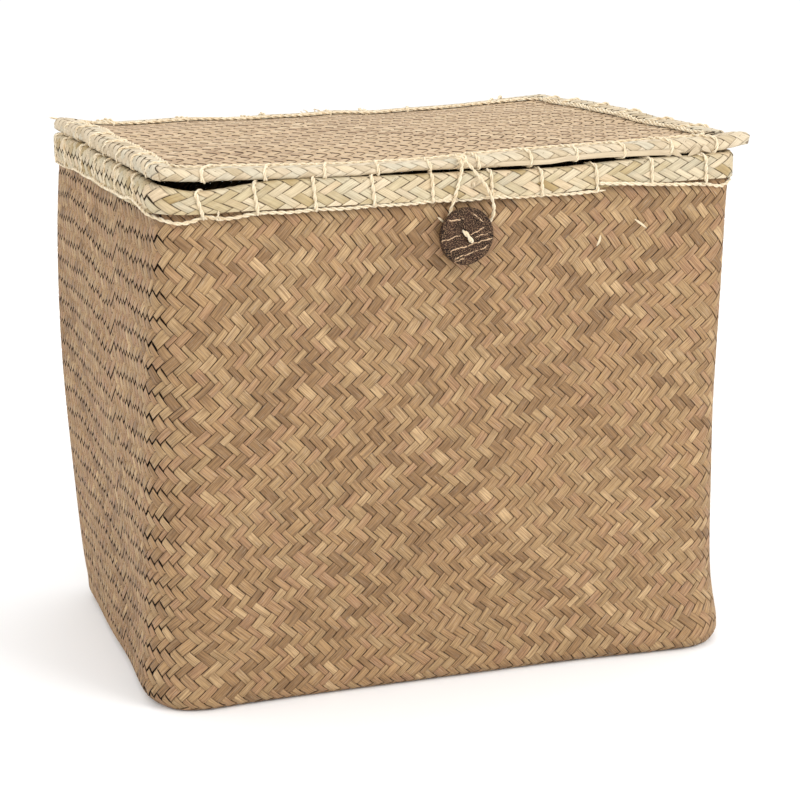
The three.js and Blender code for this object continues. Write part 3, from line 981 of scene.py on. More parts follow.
@dataclass
class WovenBody:
    """The plaited base and soft walls, one plait of long strips that run from wall to base to wall.

    A bulge is its place round the box in strips, height, width in strips, height and size.
    """

    columns: int = 50
    rows_deep: int = 37
    levels: int = 43
    foot_edge: float = 11 * MM
    top: float = 380.1 * MM
    neck: float = 356 * MM
    neck_step: float = 4.2 * MM
    inset: float = 1.5 * MM
    radii: tuple = ((42 * MM, 42 * MM, 15.8 * MM),) + ((42 * MM, 24 * MM, 15.8 * MM),) * 3
    round_waves: tuple = ((0.30, 3, 0.23, 0), (0.18, 7, -0.4, 1.3))
    height_waves: tuple = ((0.30, 5, 0, 0.9), (0.15, 11, 0.35, 0))
    swells: tuple = ((0.9 * MM, 4, 0.11, 0.5), (0.6 * MM, 9, 0.3, 0))
    foot_height_share: float = 0.05
    waist_height_share: float = 0.42
    waist_shares: tuple = ((0.0043, -0.0061), (-0.0176, -0.0061), (-0.0176, -0.0061), (0.0043, -0.0061))
    foot_shares: tuple = ((-0.0055, -0.0525), (0.021, -0.002), (-0.0185, -0.031), (-0.0119, -0.031))
    bulges: tuple = (
        (50, 230 * MM, 9, 110 * MM, 5 * MM), (49.5, 8 * MM, 4.5, 32 * MM, 3 * MM),
        (44, 5 * MM, 6, 30 * MM, 4 * MM), (170, 12 * MM, 8, 42 * MM, 6.5 * MM),
        (154, 12 * MM, 8, 42 * MM, 3 * MM), (137, 300 * MM, 8, 70 * MM, 2.5 * MM))
    strip: Strip = Strip(0.7 * MM, 0.5 * MM)
    fill: float = 1.0
    fill_spread: float = 0.05
    spread: float = 0.25
    seed: int = 11
    pieces: int = 8
    seam_shares: tuple = (0.30, 0.63)
    # Its edge and depth set painted shade at the strips' edges and where they dip under others.
    finish: LeafFinish = LeafFinish("seagrass", (
        (138, 106, 70), (157, 124, 85), (171, 137, 95), (165, 128, 93), (175, 143, 101), (163, 133, 93),
        (196, 164, 121)), blotch=0.6, fibre=0.65, edge=0.66, depth=0.97)

    def __post_init__(self) -> None:
        """Works out what follows from the sizes."""
        width, depth = self.columns, self.rows_deep
        self.around = 2 * (width + depth)
        self.side_starts = np.array([0, width, width + depth, 2 * width + depth])
        self.side_lengths = np.array([width, depth] * 2)
        self.edge = self.foot_edge - self.inset
        self.pitch = (self.edge * math.pi / 4 + self.top - self.foot_edge) / self.levels
        self.random = np.random.default_rng(self.seed)
        count = width + depth + 1
        rising = wander(count, (-depth, 0, width - depth, width), self.spread, self.random, -depth)
        falling = wander(count, (0, depth, width, width + depth), self.spread, self.random)
        self.strays = {Family.RISING: (rising, depth), Family.FALLING: (falling, 0)}
        falling_wall = np.concatenate(
            [rising[depth:], falling[width + 1:], -rising[:width][::-1], -falling[1:depth][::-1]])
        rising_wall = np.concatenate(
            [falling[:width + 1], -rising[width:width + depth][::-1], -falling[depth:width + depth][::-1],
             rising[1:depth]])
        self.wall_ends = {
            (Family.RISING, Side.FRONT): WallEnd(1, 0, 0, rising_wall, 1),
            (Family.RISING, Side.LEFT): WallEnd(-1, 0, -1, falling_wall, -1),
            (Family.RISING, Side.RIGHT): WallEnd(-1, 2 * width, 0, falling_wall, 1),
            (Family.RISING, Side.BACK): WallEnd(1, 2 * depth, 1, rising_wall, -1),
            (Family.FALLING, Side.LEFT): WallEnd(-1, 0, -1, rising_wall, 1),
            (Family.FALLING, Side.BACK): WallEnd(1, -2 * depth, 0, falling_wall, -1, 2 * width),
            (Family.FALLING, Side.FRONT): WallEnd(1, 0, 1, falling_wall, 1),
            (Family.FALLING, Side.RIGHT): WallEnd(-1, 2 * width, 0, rising_wall, -1, 2 * width)}

    def through_heights(self, z: Array, foot: float, waist: float, neck: float) -> Array:
        """A value that runs smoothly through its foot, waist and neck values.

        Args:
            z: Heights.
            foot: The value at the foot.
            waist: The value at the waist.
            neck: The value at the neck.

        Returns:
            The value at each height.
        """
        low, middle = self.foot_height_share * SIZES.rim_height, self.waist_height_share * SIZES.rim_height
        at = np.clip(z, low, self.neck)
        rise = (waist - foot) / (middle - low)
        bend = ((neck - waist) / (self.neck - middle) - rise) / (self.neck - low)
        return foot + (at - low) * (rise + bend * (at - middle))

    def outline(self, s: Array, z: Array, inset: Array) -> tuple:
        """A place on the wall's outline at a height.

        Args:
            s: How far round the box, in strips.
            z: The height that sets the outline's shape.
            inset: How far inside the outer face.

        Returns:
            X and Y.
        """
        s = np.mod(s, self.around)
        side = np.clip(np.searchsorted(self.side_starts, s, side="right") - 1, 0, 3)
        share = (s - self.side_starts[side]) / self.side_lengths[side]
        for place, height, wide, tall, amount in self.bulges:
            away = np.mod(s - place + self.around / 2, self.around) - self.around / 2
            inset = inset - amount * np.exp(-((away / wide) ** 2) - ((z - height) / tall) ** 2)
        reach_x, reach_y = [], []
        for waist, foot in zip(self.waist_shares, self.foot_shares):
            out_x, out_y = (self.through_heights(z, f * SIZES.width, w * SIZES.width, -self.neck_step)
                            for f, w in zip(foot, waist))
            reach_x.append(SIZES.width / 2 + out_x - inset)
            reach_y.append(SIZES.depth / 2 + out_y - inset)
        radii = [self.through_heights(z, *corner) - (self.inset + inset) / 2 for corner in self.radii]
        return outline_point(side, share, reach_x, reach_y, radii)

    def wall(self, s: Array, t: Array) -> Array:
        """A place on the middle of the wall.

        Args:
            s: How far round the box, in strips.
            t: How far up from the middle of the foot's rounding, in strips.

        Returns:
            The points.
        """
        fade = np.clip(t / 4, 0, 1) * np.clip((self.levels - t) / 5, 0, 1)
        turn = s * TWO_PI / self.around
        s = s + fade * waves(self.round_waves, turn, t)
        t = t + fade * waves(self.height_waves, turn, t)
        run = t * self.pitch
        bend = self.edge * math.pi / 4
        angle = np.minimum(math.pi / 4 + run / self.edge, math.pi / 2)
        rounded = run < bend
        z = np.where(rounded, self.inset + self.edge * (1 - np.cos(angle)), self.foot_edge + run - bend)
        edge_inset = np.where(rounded, self.edge * (1 - np.sin(angle)), 0)
        x, y = self.outline(s, z, self.inset + edge_inset - fade * waves(self.swells, turn, t))
        return RIM_DRAPE.moved(np.stack([x, y, z], -1))

    def base(self, x: Array, y: Array) -> Array:
        """A place on the middle of the base.

        Args:
            x: How far from the left, in strips.
            y: How far from the front, in strips.

        Returns:
            The points.
        """
        width, depth = self.columns, self.rows_deep
        x, y = np.clip(x, 0, width), np.clip(y, 0, depth)
        drop = self.edge * math.sin(math.pi / 4)

        def rim(s: Array) -> Array:
            """The base's edge, in the middle of the foot's rounding."""
            level = np.full_like(s, self.inset + self.edge - drop)
            return np.stack(self.outline(s, level, self.inset + self.edge - drop), -1)

        u, v = (x / width)[..., None], (y / depth)[..., None]
        front, back = rim(x), rim(2 * width + depth - x)
        left, right = rim(self.around - y), rim(width + y)
        corners = [rim(np.full_like(x, start + 1e-9)) for start in self.side_starts]
        near = (1 - u) * corners[0] + u * corners[1]
        far = (1 - u) * corners[3] + u * corners[2]
        plane = (1 - v) * (front - near) + v * (back - far) + (1 - u) * left + u * right
        inward = np.minimum(np.minimum(x, width - x), np.minimum(y, depth - y)) * self.pitch
        z = self.inset + self.edge - np.sqrt(self.edge**2 - np.maximum(drop - inward, 0) ** 2)
        return np.concatenate([plane, z[..., None]], -1)

    def unfold(self, x: Array, y: Array, side: Array) -> tuple:
        """Where a place of the base's chart lies on the wall that the chart folds up into.

        Args:
            x: How far from the left, in strips.
            y: How far from the front, in strips.
            side: The wall's side.

        Returns:
            How far round the box and how far up the wall, in strips.
        """
        width, depth = self.columns, self.rows_deep
        s = np.choose(side, [x, width + y, 2 * width + depth - x, self.around - y])
        return s, np.choose(side, [-y, x - width, y - depth, -x])

    def place(self, x: Array, y: Array, side: Array) -> Array:
        """A place on the body from the chart of the base, which folds up into this side's wall."""
        s, t = self.unfold(x, y, side)
        return np.where((t > 0)[..., None], self.wall(s, np.maximum(t, 0)), self.base(x, y))

    def crossings(self, family: Family, own: int, others: Array, sides: Array) -> Array:
        """Whether a strip goes over those that it crosses: two over, two under, with two seams on the walls.

        Args:
            family: The strip's direction on the base.
            own: The strip's number.
            others: The crossed strips' numbers.
            sides: The wall that the chart folds up into at each crossing.

        Returns:
            1 over and -1 under.
        """
        rises = family is Family.RISING
        a, b = (own, others) if rises else (others, own)
        s, t = self.unfold((a + b + 1) / 2, (b - a) / 2, sides)
        share = (s % self.around - self.side_starts[Side.LEFT]) / self.rows_deep
        moved = (self.seam_shares[0] - 1 < share) & (share < self.seam_shares[1])
        falls_on_wall = rises == ((sides == Side.FRONT) | (sides == Side.BACK))
        on_wall = ((2 * t + 2 * moved) % 4 < 2) == falls_on_wall
        on_base = ((a - b) % 4 < 2) == rises
        return np.where(np.where(t < 0, on_base, on_wall), 1.0, -1.0)

    def lane(self, family: Family, own: int) -> Lane:
        """One strip's way from the top of a wall over the base to the top of another.

        Args:
            family: The strip's direction on the base.
            own: The strip's number.

        Returns:
            The lane.
        """
        reach = 2 * self.levels
        if family is Family.RISING:
            crossed = Family.FALLING
            low_side = Side.FRONT if own >= 0 else Side.LEFT
            high_side = Side.RIGHT if own >= self.columns - self.rows_deep else Side.BACK
        else:
            crossed = Family.RISING
            low_side = Side.LEFT if own < self.rows_deep else Side.BACK
            high_side = Side.FRONT if own < self.columns else Side.RIGHT
        low_end, high_end = self.wall_ends[family, low_side], self.wall_ends[family, high_side]
        low_fold, high_fold = low_end.fold(own), high_end.fold(own)
        own_strays, own_shift = self.strays[family]
        crossed_strays, crossed_shift = self.strays[crossed]

        def limits(middle: Array) -> tuple:
            """The lowest and highest crossing coordinates at the walls' tops."""
            low, high = (end.sign * middle + end.room for end in (low_end, high_end))
            return low - reach, high + reach

        start, end = own_strays[own + own_shift:own + own_shift + 2]
        middle, half = own + 0.5 + (start + end) / 2, (1 + end - start) / 2
        low, high = limits(middle)
        numbers = np.arange(math.floor(low), math.ceil(high) + 1)
        on_base = crossed_strays[np.clip(numbers + crossed_shift, 0, len(crossed_strays) - 1)]
        on_wall = np.where(numbers <= low_fold, low_end.stray(numbers), high_end.stray(numbers))
        edges = numbers + np.where((low_fold < numbers) & (numbers < high_fold), on_base, on_wall)
        sides = np.where(numbers[:-1] + 0.5 < (low_fold + high_fold) / 2, low_side.value, high_side.value)
        over = self.crossings(family, own, numbers[:-1], sides)
        fill = self.fill + float(self.random.uniform(-self.fill_spread, self.fill_spread / 4))
        tone = float(self.random.uniform())
        return make_lane(family, middle, half, edges, over, sides, limits, self.strip, fill, self.pitch, tone)

    def build(self) -> None:
        """Plaits the body, dresses it and sets it on the basket's body."""
        lanes = [self.lane(Family.RISING, n) for n in range(-self.rows_deep, self.columns)]
        lanes += [self.lane(Family.FALLING, n) for n in range(self.columns + self.rows_deep)]
        sweeps = lay_lanes(lanes, self.place, self.strip)
        material = self.finish.material()
        for number in range(self.pieces):
            strips = mesh_from_sweeps(f"seagrass_strips_{number + 1}", sweeps[number::self.pieces])
            dress(strips, material, "woven_body", "basket")
        LOG.info("woven body: %d strips", len(sweeps))


# The rim and the lid


@dataclass(frozen=True)
class Drape:
    """How far a soft hoop strays up or down: a drawn front, a sagging back and a small shift between them."""

    bottom: float
    top: float
    shares: tuple
    low: tuple
    high: tuple
    rest_low: float = 0
    rest_high: float = 0
    right_rise: float = 0
    tilt_reach: float = 18 * MM
    sag_shares: tuple = (-0.5, -0.47, -0.43, -0.38, -0.2, 0, 0.13, 0.22, 0.3, 0.36, 0.43, 0.48)
    sag: tuple = (-1, -2.5, -5.5, -7, -7.5, -7, -6.8, -6.3, -5.2, -4, -2, 0)
    reach: float = 110 * MM
    fade: float = 60 * MM
    waves: tuple = ((0.5 * MM, 9, 0, 0.6), (0.35 * MM, 17, 0, 2.1))
    calm_reach: float = 150 * MM

    def nearness(self, distance: Array) -> Array:
        """A smooth fall from 1 at an edge to 0 at the reach."""
        near = np.clip(1 - distance / self.reach, 0, 1)
        return near * near * (3 - 2 * near)

    def moved(self, points: Array) -> Array:
        """Points moved with the hoop.

        Args:
            points: The points at rest.

        Returns:
            The moved points.
        """
        x, y, z = points[..., 0], points[..., 1], points[..., 2]
        share = x / SIZES.width
        low = np.interp(share, self.shares, self.low) * MM
        high = np.interp(share, self.shares, self.high) * MM
        sag = np.interp(share, self.sag_shares, self.sag) * MM
        front, back = self.nearness(SIZES.depth / 2 + y), self.nearness(SIZES.depth / 2 - y)
        height = np.clip((z - self.bottom) / (self.top - self.bottom), 0, 1)
        below = np.clip(1 - (self.bottom - z) / self.fade, 0, 1)
        from_middle = np.clip(np.hypot(x, y) / self.calm_reach, 0, 1) ** 2
        wave = waves(self.waves, np.arctan2(y, x)) * (1 - front) * from_middle
        rest = self.rest_low + (self.rest_high - self.rest_low) * height
        tilt = np.clip(1 - (SIZES.lid_half_x - x) / self.tilt_reach, 0, 1)
        tilt = self.right_rise * tilt * height * (1 - back) * (1 - 0.5 * front)
        drawn = (low + (high - low) * height) * front
        lift = below * (drawn + rest * (1 - front) + sag * back + tilt + wave)
        return np.stack([x, y, z + lift], -1)


RIM_DRAPE = Drape(
    SIZES.band_bottom, SIZES.rim_height,
    shares=(-0.5, -0.48, -0.452, -0.43, -0.4, -0.368, -0.324, -0.277, -0.184, -0.09, 0, 0.09, 0.16, 0.225,
            0.26, 0.325, 0.42, 0.48),
    low=(1.7, 1.6, 1.1, 0.9, 1.0, 1.2, 1.1, 1.0, 0.9, 0.4, 0.2, 0, 0.3, 1.6, 2.8, 3.0, 3.6, 3.4),
    high=(1.5, -0.3, -3.6, -4.8, -4.0, -2.4, 0, 0.4, -0.6, -1.3, -1.2, -2.2, -2.2, -1.0, 0, 0.9, 1.2, 1.9),
    rest_high=1.2 * MM)
LID_DRAPE = Drape(
    SIZES.lid_bottom, SIZES.lid_top,
    shares=(-0.5, -0.473, -0.45, -0.366, -0.277, -0.176, -0.079, -0.025, 0.013, 0.05, 0.107, 0.149, 0.175,
            0.203, 0.228, 0.284, 0.327, 0.38, 0.41, 0.445, 0.51),
    low=(0, -0.4, -1.7, -2.4, -3.6, -3.8, -2.4, -2.9, -3.4, -3.7, -3.5, -2.8, -1.5, -1.1, -1.05, -1.3, -0.9,
         -1.3, -1.8, -1.4, 0.8),
    high=(-0.8, -1.8, -3.2, -3.8, -5.6, -6.8, -6.8, -6.0, -4.7, -3.9, -3.1, -2.8, -2.5, -2.3, -2.1, -1.5,
          -0.6, 0, 0.2, 0, 0.4),
    rest_low=-1.0 * MM, rest_high=-0.6 * MM, right_rise=4.5 * MM)


class Section:
    """A folded strip's section: a line of insets and heights with round corners."""

    def __init__(self, points: list, rounding: float | tuple) -> None:
        """Rounds a line's corners and measures it.

        Args:
            points: Pairs of inset and height.
            rounding: How far from a corner its rounding starts, for all corners or for each.
        """
        knots = np.array(points, float)
        line = [knots[:1]]
        roundings = np.broadcast_to(rounding, len(knots) - 2)
        for before, corner, after, rounding in zip(knots, knots[1:], knots[2:], roundings):
            back, on = before - corner, after - corner
            back_length, on_length = np.linalg.norm(back), np.linalg.norm(on)
            start = corner + back / back_length * min(rounding, back_length / 2)
            end = corner + on / on_length * min(rounding, on_length / 2)
            t = np.linspace(0, 1, 9)[:, None]
            line.append((1 - t) ** 2 * start + 2 * t * (1 - t) * corner + t**2 * end)
        line.append(knots[-1:])
        self.line = np.concatenate(line)
        self.runs = running_length(self.line)

    @property
    def length(self) -> float:
        """The line's length."""
        return float(self.runs[-1])

    def at(self, run: Array) -> tuple:
        """Insets and heights at lengths along the line."""
        return np.interp(run, self.runs, self.line[:, 0]), np.interp(run, self.runs, self.line[:, 1])

    def spaced(self, step: float) -> list:
        """Places along the line, about a step apart."""
        inset, z = self.at(np.linspace(0, self.length, max(int(self.length / step), 2) + 1))
        return list(zip(inset, z))


@dataclass(frozen=True)
class Patch:
    """A piece of plait in its own chart: x along it and y across it, in strips."""

    x_start: float
    x_end: float
    y_start: float
    y_end: float
    closed: bool = False
    least_length: float = 0.3

    def limits(self, family: Family, own: Array) -> tuple:
        """The lowest and highest crossing coordinates of a strip.

        Args:
            family: Which way the strip runs.
            own: The strip's own diagonal coordinate.

        Returns:
            The two limits.
        """
        if family is Family.FALLING:
            low, high = own - 2 * self.y_end, own - 2 * self.y_start
        else:
            low, high = own + 2 * self.y_start, own + 2 * self.y_end
        if not self.closed:
            low, high = np.maximum(low, 2 * self.x_start - own), np.minimum(high, 2 * self.x_end - own)
        return np.minimum(low, high), high

    def lanes(self, strip: Strip, fill: float, pitch: float, spread: float,
              random: np.random.Generator) -> list:
        """The ways of all its strips.

        Args:
            strip: The strips' section.
            fill: How much of their room the strips fill.
            pitch: The length of the chart's unit, in metres.
            spread: How unevenly wide the strips are.
            random: The source of chance.

        Returns:
            The lanes.
        """
        made = []
        stray_count = 512
        strays = {family: random.uniform(-spread, spread, stray_count) for family in Family}
        count = int(self.x_end - self.x_start)
        period = count if self.closed else stray_count
        for family in Family:
            crossed, ends = Family.RISING, (self.y_start, self.y_end)
            if family is Family.RISING:
                crossed, ends = Family.FALLING, (-self.y_end, -self.y_start)
            first, last = math.floor(self.x_start + ends[0]), math.ceil(self.x_end + ends[1])
            numbers = range(count) if self.closed else range(first, last)
            for own in numbers:
                start, end = strays[family][np.array([own, own + 1]) % period]
                middle, half = own + 0.5 + (start + end) / 2, (1 + end - start) / 2
                low, high = self.limits(family, np.array([middle - half, middle, middle + half]))
                if high[1] - low[1] < self.least_length:
                    continue
                others = np.arange(math.floor(low.min()) - 1, math.ceil(high.max()) + 2)
                edges = others + strays[crossed][others % period]
                rows = own - others[:-1] if family is Family.FALLING else others[:-1] - own
                rising = np.where(rows % 4 < 2, 1.0, -1.0)
                over = rising if family is Family.RISING else -rising
                keep = (edges[1:] > low.min()) & (edges[:-1] < high.max())
                first, last = np.flatnonzero(keep)[[0, -1]]
                made.append(make_lane(
                    family, middle, half, edges[first:last + 2], over[first:last + 1],
                    np.zeros(last + 1 - first, int), lambda own_place, f=family: self.limits(f, own_place),
                    strip, fill + float(random.uniform(-0.03, 0.01)), pitch, float(random.uniform())))
        return made


@dataclass(frozen=True)
class Edge:
    """The outline of the rim or of the lid, for what is folded or tied round it."""

    half_x: float
    half_y: float
    corner: float
    least_corner: float = 0.5 * MM

    def place(self, side: Array, share: Array, inset: Array, z: Array) -> Array:
        """A place at the edge.

        Args:
            side: The side's number.
            share: How far along the side, from the middle of one corner to that of the next.
            inset: How far inside the outer face.
            z: The height.

        Returns:
            The points.
        """
        inset = np.asarray(inset, float) + 0 * np.asarray(share, float)
        radius = np.maximum(self.corner - inset, self.least_corner)
        reach_x, reach_y = [self.half_x - inset] * 4, [self.half_y - inset] * 4
        x, y = outline_point(side, share, reach_x, reach_y, [radius] * 4)
        return np.stack([x, y, z + 0 * x], -1)

    def length(self, side: Side) -> float:
        """The length of a side, from the middle of one corner to that of the next."""
        straight = 2 * (self.half_x if side in (Side.FRONT, Side.BACK) else self.half_y)
        return straight - (2 - math.pi / 2) * self.corner

    def share(self, side: Side, along: float) -> float:
        """The share of a side at a place in X on the front and back, or in Y on the right and left."""
        sign = 1 if side in (Side.FRONT, Side.RIGHT) else -1
        return 0.5 + sign * along / self.length(side)

    def loop(self, side: Side, along: float, route: list, lean: float = 0, drift: float = 0) -> list:
        """Points of a loop round the edge.

        Args:
            side: The side of the box.
            along: Where on the side it is, in X or Y.
            route: Pairs of inset and height.
            lean: How far the loop's foot is moved along the side from its top.
            drift: How far the route's end is moved along the side from its start.

        Returns:
            The points.
        """
        heights = [z for _, z in route]
        low, high = min(heights), max(heights)
        points = []
        for number, (inset, z) in enumerate(route):
            slide = lean * (0.5 - (z - low) / (high - low)) + drift * (number / (len(route) - 1) - 0.5)
            points.append(self.place(side, self.share(side, along + slide), inset, z))
        return points


RIM = Edge(SIZES.width / 2, SIZES.depth / 2, 20 * MM)
LID = Edge(SIZES.lid_half_x, SIZES.lid_half_y, 10 * MM)


@dataclass(frozen=True)
class FoldedHoop:
    """A plaited strip that runs round the box with its long edges folded over."""

    edge: Edge
    section: Section
    across: int
    deep: int
    row_height: float
    row_shift: float
    drape: Drape

    @property
    def pitch(self) -> float:
        """The length of the chart's unit along the hoop, in metres."""
        return self.edge.length(Side.FRONT) / self.across

    @property
    def starts(self) -> Array:
        """Where each side starts, in strips."""
        return np.array([0, self.across, self.across + self.deep, 2 * self.across + self.deep])

    @property
    def patch(self) -> Patch:
        """The whole hoop's patch."""
        rows = self.section.length / self.row_height
        return Patch(0, 2 * (self.across + self.deep), self.row_shift, self.row_shift + rows, closed=True)

    def ends(self, side: Side) -> tuple:
        """Where a side starts and ends, in the middles of its corners, in strips."""
        return self.starts[side], self.starts[side] + (self.deep if side % 2 else self.across)

    def at(self, y: Array) -> tuple:
        """The inset and height at a place across the strip."""
        return self.section.at((y - self.row_shift) * self.row_height)

    def place(self, x: Array, y: Array, _: Array) -> Array:
        """A place on the hoop's middle surface.

        Args:
            x: How far round the box, in strips.
            y: How far across the strip, in strips, with the pattern's shift.

        Returns:
            The points.
        """
        s = np.mod(x, 2 * (self.across + self.deep))
        side = np.clip(np.searchsorted(self.starts, s, side="right") - 1, 0, 3)
        share = (s - self.starts[side]) / np.array([self.across, self.deep] * 2)[side]
        inset, z = self.at(y)
        return self.drape.moved(self.edge.place(side, share, inset, z))


@dataclass
class RimBand:
    """The pale plaited band folded over the rim, with a nub of leaf on it and slivers of leaf on the wall.

    A sliver is its two ends in X and Z and half its width, in millimetres.
    """

    thickness: float = 1.6 * MM
    top_width: float = 9.1 * MM
    across: int = 36
    deep: int = 28
    row_height: float = 7.3 * MM
    row_shift: float = 0.45
    rounding: float = 3.0 * MM
    strip: Strip = Strip(0.6 * MM, 0.42 * MM, 2)
    fill: float = 0.965
    nub: tuple = (5.6, -165.8, 372)
    nub_rises: tuple = (-0.6, 0.2, 0.7, 0.9)
    nub_halves: tuple = (1.9 * MM, 1.8 * MM, 1.2 * MM, 0.3 * MM)
    nub_thickness: float = 3 * MM
    spread: float = 0.16
    seed: int = 3
    sliver_y: float = -162.9 * MM
    sliver_arch: float = 1.2 * MM
    sliver_halves: tuple = (0.3, 1, 1, 0.9, 0.3)
    sliver_thickness: float = 0.3 * MM
    loose_tone: float = 1.2
    slivers: tuple = (
        ((132.9, 339.6), (142.9, 332.4), 0.9), ((102.9, 322), (105.9, 329.8), 1.0),
        ((-20.3, 350.5), (-15.1, 346), 0.8))
    # Its edge, depth and dark set painted shade at the strips' edges and where they dip under others.
    finish: LeafFinish = LeafFinish("palm_leaf", (
        (168, 144, 98), (194, 178, 142), (206, 188, 154), (188, 177, 150), (214, 192, 158), (182, 163, 124),
        (202, 190, 160), (218, 200, 168)), blotch=0.35, edge=0.4, depth=0.75, dark=(86, 58, 30))

    def build(self) -> None:
        """Plaits the band, dresses it and sets it on the basket's body."""
        skin = self.thickness / 2
        inner, top = self.top_width - skin, SIZES.rim_height - skin
        line = [(skin, SIZES.band_bottom), (skin, top), (inner, top), (inner, SIZES.band_bottom)]
        section = Section(line, self.rounding)
        hoop = FoldedHoop(RIM, section, self.across, self.deep, self.row_height, self.row_shift, RIM_DRAPE)
        random = np.random.default_rng(self.seed)
        lanes = hoop.patch.lanes(self.strip, self.fill, hoop.pitch, self.spread, random)
        sweeps = lay_lanes(lanes, hoop.place, self.strip, 1)
        x, y, z = (value * MM for value in self.nub)
        knob = [(x, y - rise * MM, z) for rise in self.nub_rises]
        sweeps.append(leaf_bit(knob, self.nub_halves, (0, 0, 1), self.nub_thickness, self.loose_tone))
        material = self.finish.material()
        dress(mesh_from_sweeps("palm_leaf_rim_band", sweeps), material, "rim_band", "basket")
        slivers = []
        arch = self.sliver_y - self.sliver_arch * np.sin(np.linspace(0, math.pi, 5))
        for start, end, half in self.slivers:
            points = two_ended(start, end, arch, 5)
            halves = np.array(self.sliver_halves) * half * MM
            slivers.append(leaf_bit(points, halves, (0, -1, 0), self.sliver_thickness, self.loose_tone))
        dress(mesh_from_sweeps("pale_slivers", slivers), material, body="basket")
        LOG.info("rim band: %d strips", len(lanes))


@dataclass
class Lid:
    """The lid: a flat plaited panel in a folded border.

    A leaf tip is its two ends in X and Z and half its width, in millimetres.
    """

    thickness: float = 1.8 * MM
    leg: float = 16 * MM
    lip: float = 2.5 * MM
    lip_end: float = 1.2 * MM
    lip_drop: float = 0.3 * MM
    lip_rounding: float = 2.6 * MM
    across: int = 38
    deep: int = 28
    row_height: float = 7.4 * MM
    row_shift: float = 0.3
    rounding: float = 4.8 * MM
    end_start: float = 196 * MM
    end_low: float = 386.9 * MM
    end_high: float = 394.5 * MM
    end_inset: float = 0.8 * MM
    panel_inset: float = 12 * MM
    panel_columns: int = 44
    panel_rows: int = 33
    border_strip: Strip = Strip(0.55 * MM, 0.3 * MM, 2)
    rough_strip: Strip = Strip(0.6 * MM, 0.75 * MM, 2, 0.8)
    front_fill: float = 0.985
    rough_fill: float = 0.9
    border_spread: float = 0.1
    border_seed: int = 20
    panel_strip: Strip = Strip(0.8 * MM, 0.9 * MM)
    panel_fill: float = 0.93
    panel_spread: float = 0.22
    panel_seed: int = 8
    panel_reliefs: tuple = (0.8, 1.12)
    fold_start: float = 22 * MM
    fold_end: float = 170 * MM
    fold_height: float = 2.5 * MM
    fold_wave: float = 0.5 * MM
    tips: tuple = (
        ((160, 388), (170, 382.4), 2.4), ((183, 388), (174, 382.8), 2.6), ((186, 389), (193, 384.8), 2.2))
    tip_halves: tuple = (1, 1, 0.9, 0.7, 0.4, 0.1)
    # In both finishes, edge, depth and dark set painted shade at the strips' edges and where they dip under
    # others.
    border_finish: LeafFinish = LeafFinish("palm_leaf_border", (
        (184, 166, 134), (202, 184, 154), (212, 196, 168), (198, 188, 164), (216, 196, 162)),
        fibre=0.3, blotch=0.5, edge=0.25, depth=0.65, dark=(96, 68, 38))
    panel_finish: LeafFinish = LeafFinish("pale_seagrass", (
        (168, 140, 108), (188, 162, 128), (198, 171, 137), (192, 166, 130), (206, 182, 148)),
        blotch=0.5, edge=0.75)

    def build(self) -> None:
        """Plaits the border's four strips and the panel, dresses them and sets them on the lid's body."""
        self.build_border()
        self.build_panel()
        LOG.info("lid: a panel and four border strips")

    def build_border(self) -> None:
        """Plaits the four border strips; the front one runs on straight past the right corner."""
        skin = self.thickness / 2
        low, high = SIZES.lid_bottom + skin, SIZES.lid_top - skin
        panel_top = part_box("lid_panel")[1][2]
        line = [(self.leg, low), (skin, low), (skin, high), (self.leg - self.lip, high),
                (self.leg + self.lip_end, panel_top - self.lip_drop)]
        section = Section(line, (self.lip_rounding, self.rounding, self.lip_rounding))
        hoop = FoldedHoop(LID, section, self.across, self.deep, self.row_height, self.row_shift, LID_DRAPE)
        front_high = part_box("lid_border_front")[1][0] - 0.5 * MM
        right_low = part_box("lid_border_right")[0][1]

        def front_place(x: Array, y: Array, _: Array) -> Array:
            """A place on the front strip, whose right end runs straight and flattens.

            Args:
                x: How far round the lid, in strips.
                y: How far across the strip, in strips.

            Returns:
                The points.
            """
            inset, z = hoop.at(y)
            along = (x - hoop.across / 2) * hoop.pitch
            share = np.clip((along - self.end_start) / (front_high - self.end_start), 0, 1)
            share = share * share * (3 - 2 * share)
            squeeze = 1 - share * (1 - (self.end_high - self.end_low) / (SIZES.lid_top - SIZES.lid_bottom))
            flat = (self.end_low + self.end_high) / 2 + (z - (low + high) / 2) * squeeze
            out = -LID.half_y + inset + share * self.end_inset
            straight = np.stack([along, out, z + (flat - z) * share], -1)
            bent = LID.place(np.zeros_like(x, int), np.clip(x / hoop.across, 0, 0.5), inset, z)
            return LID_DRAPE.moved(np.where((x < hoop.across / 2)[..., None], bent, straight))

        right_start = hoop.across + hoop.deep / 2 + right_low / (LID.length(Side.RIGHT) / hoop.deep)
        material = self.border_finish.material()
        for side in Side:
            start, end = hoop.ends(side)
            strip, fill, place = self.rough_strip, self.rough_fill, hoop.place
            if side is Side.FRONT:
                end = hoop.across / 2 + front_high / hoop.pitch
                strip, fill, place = self.border_strip, self.front_fill, front_place
            elif side is Side.RIGHT:
                start = right_start
            patch = replace(hoop.patch, x_start=start, x_end=end, closed=False)
            random = np.random.default_rng(self.border_seed + side)
            lanes = patch.lanes(strip, fill, hoop.pitch, self.border_spread, random)
            sweeps = lay_lanes(lanes, place, strip, 1) + (self.loose_bits() if side is Side.FRONT else [])
            name = f"lid_border_{side.name.lower()}"
            dress(mesh_from_sweeps(f"palm_leaf_{name}", sweeps), material, name, "lid")

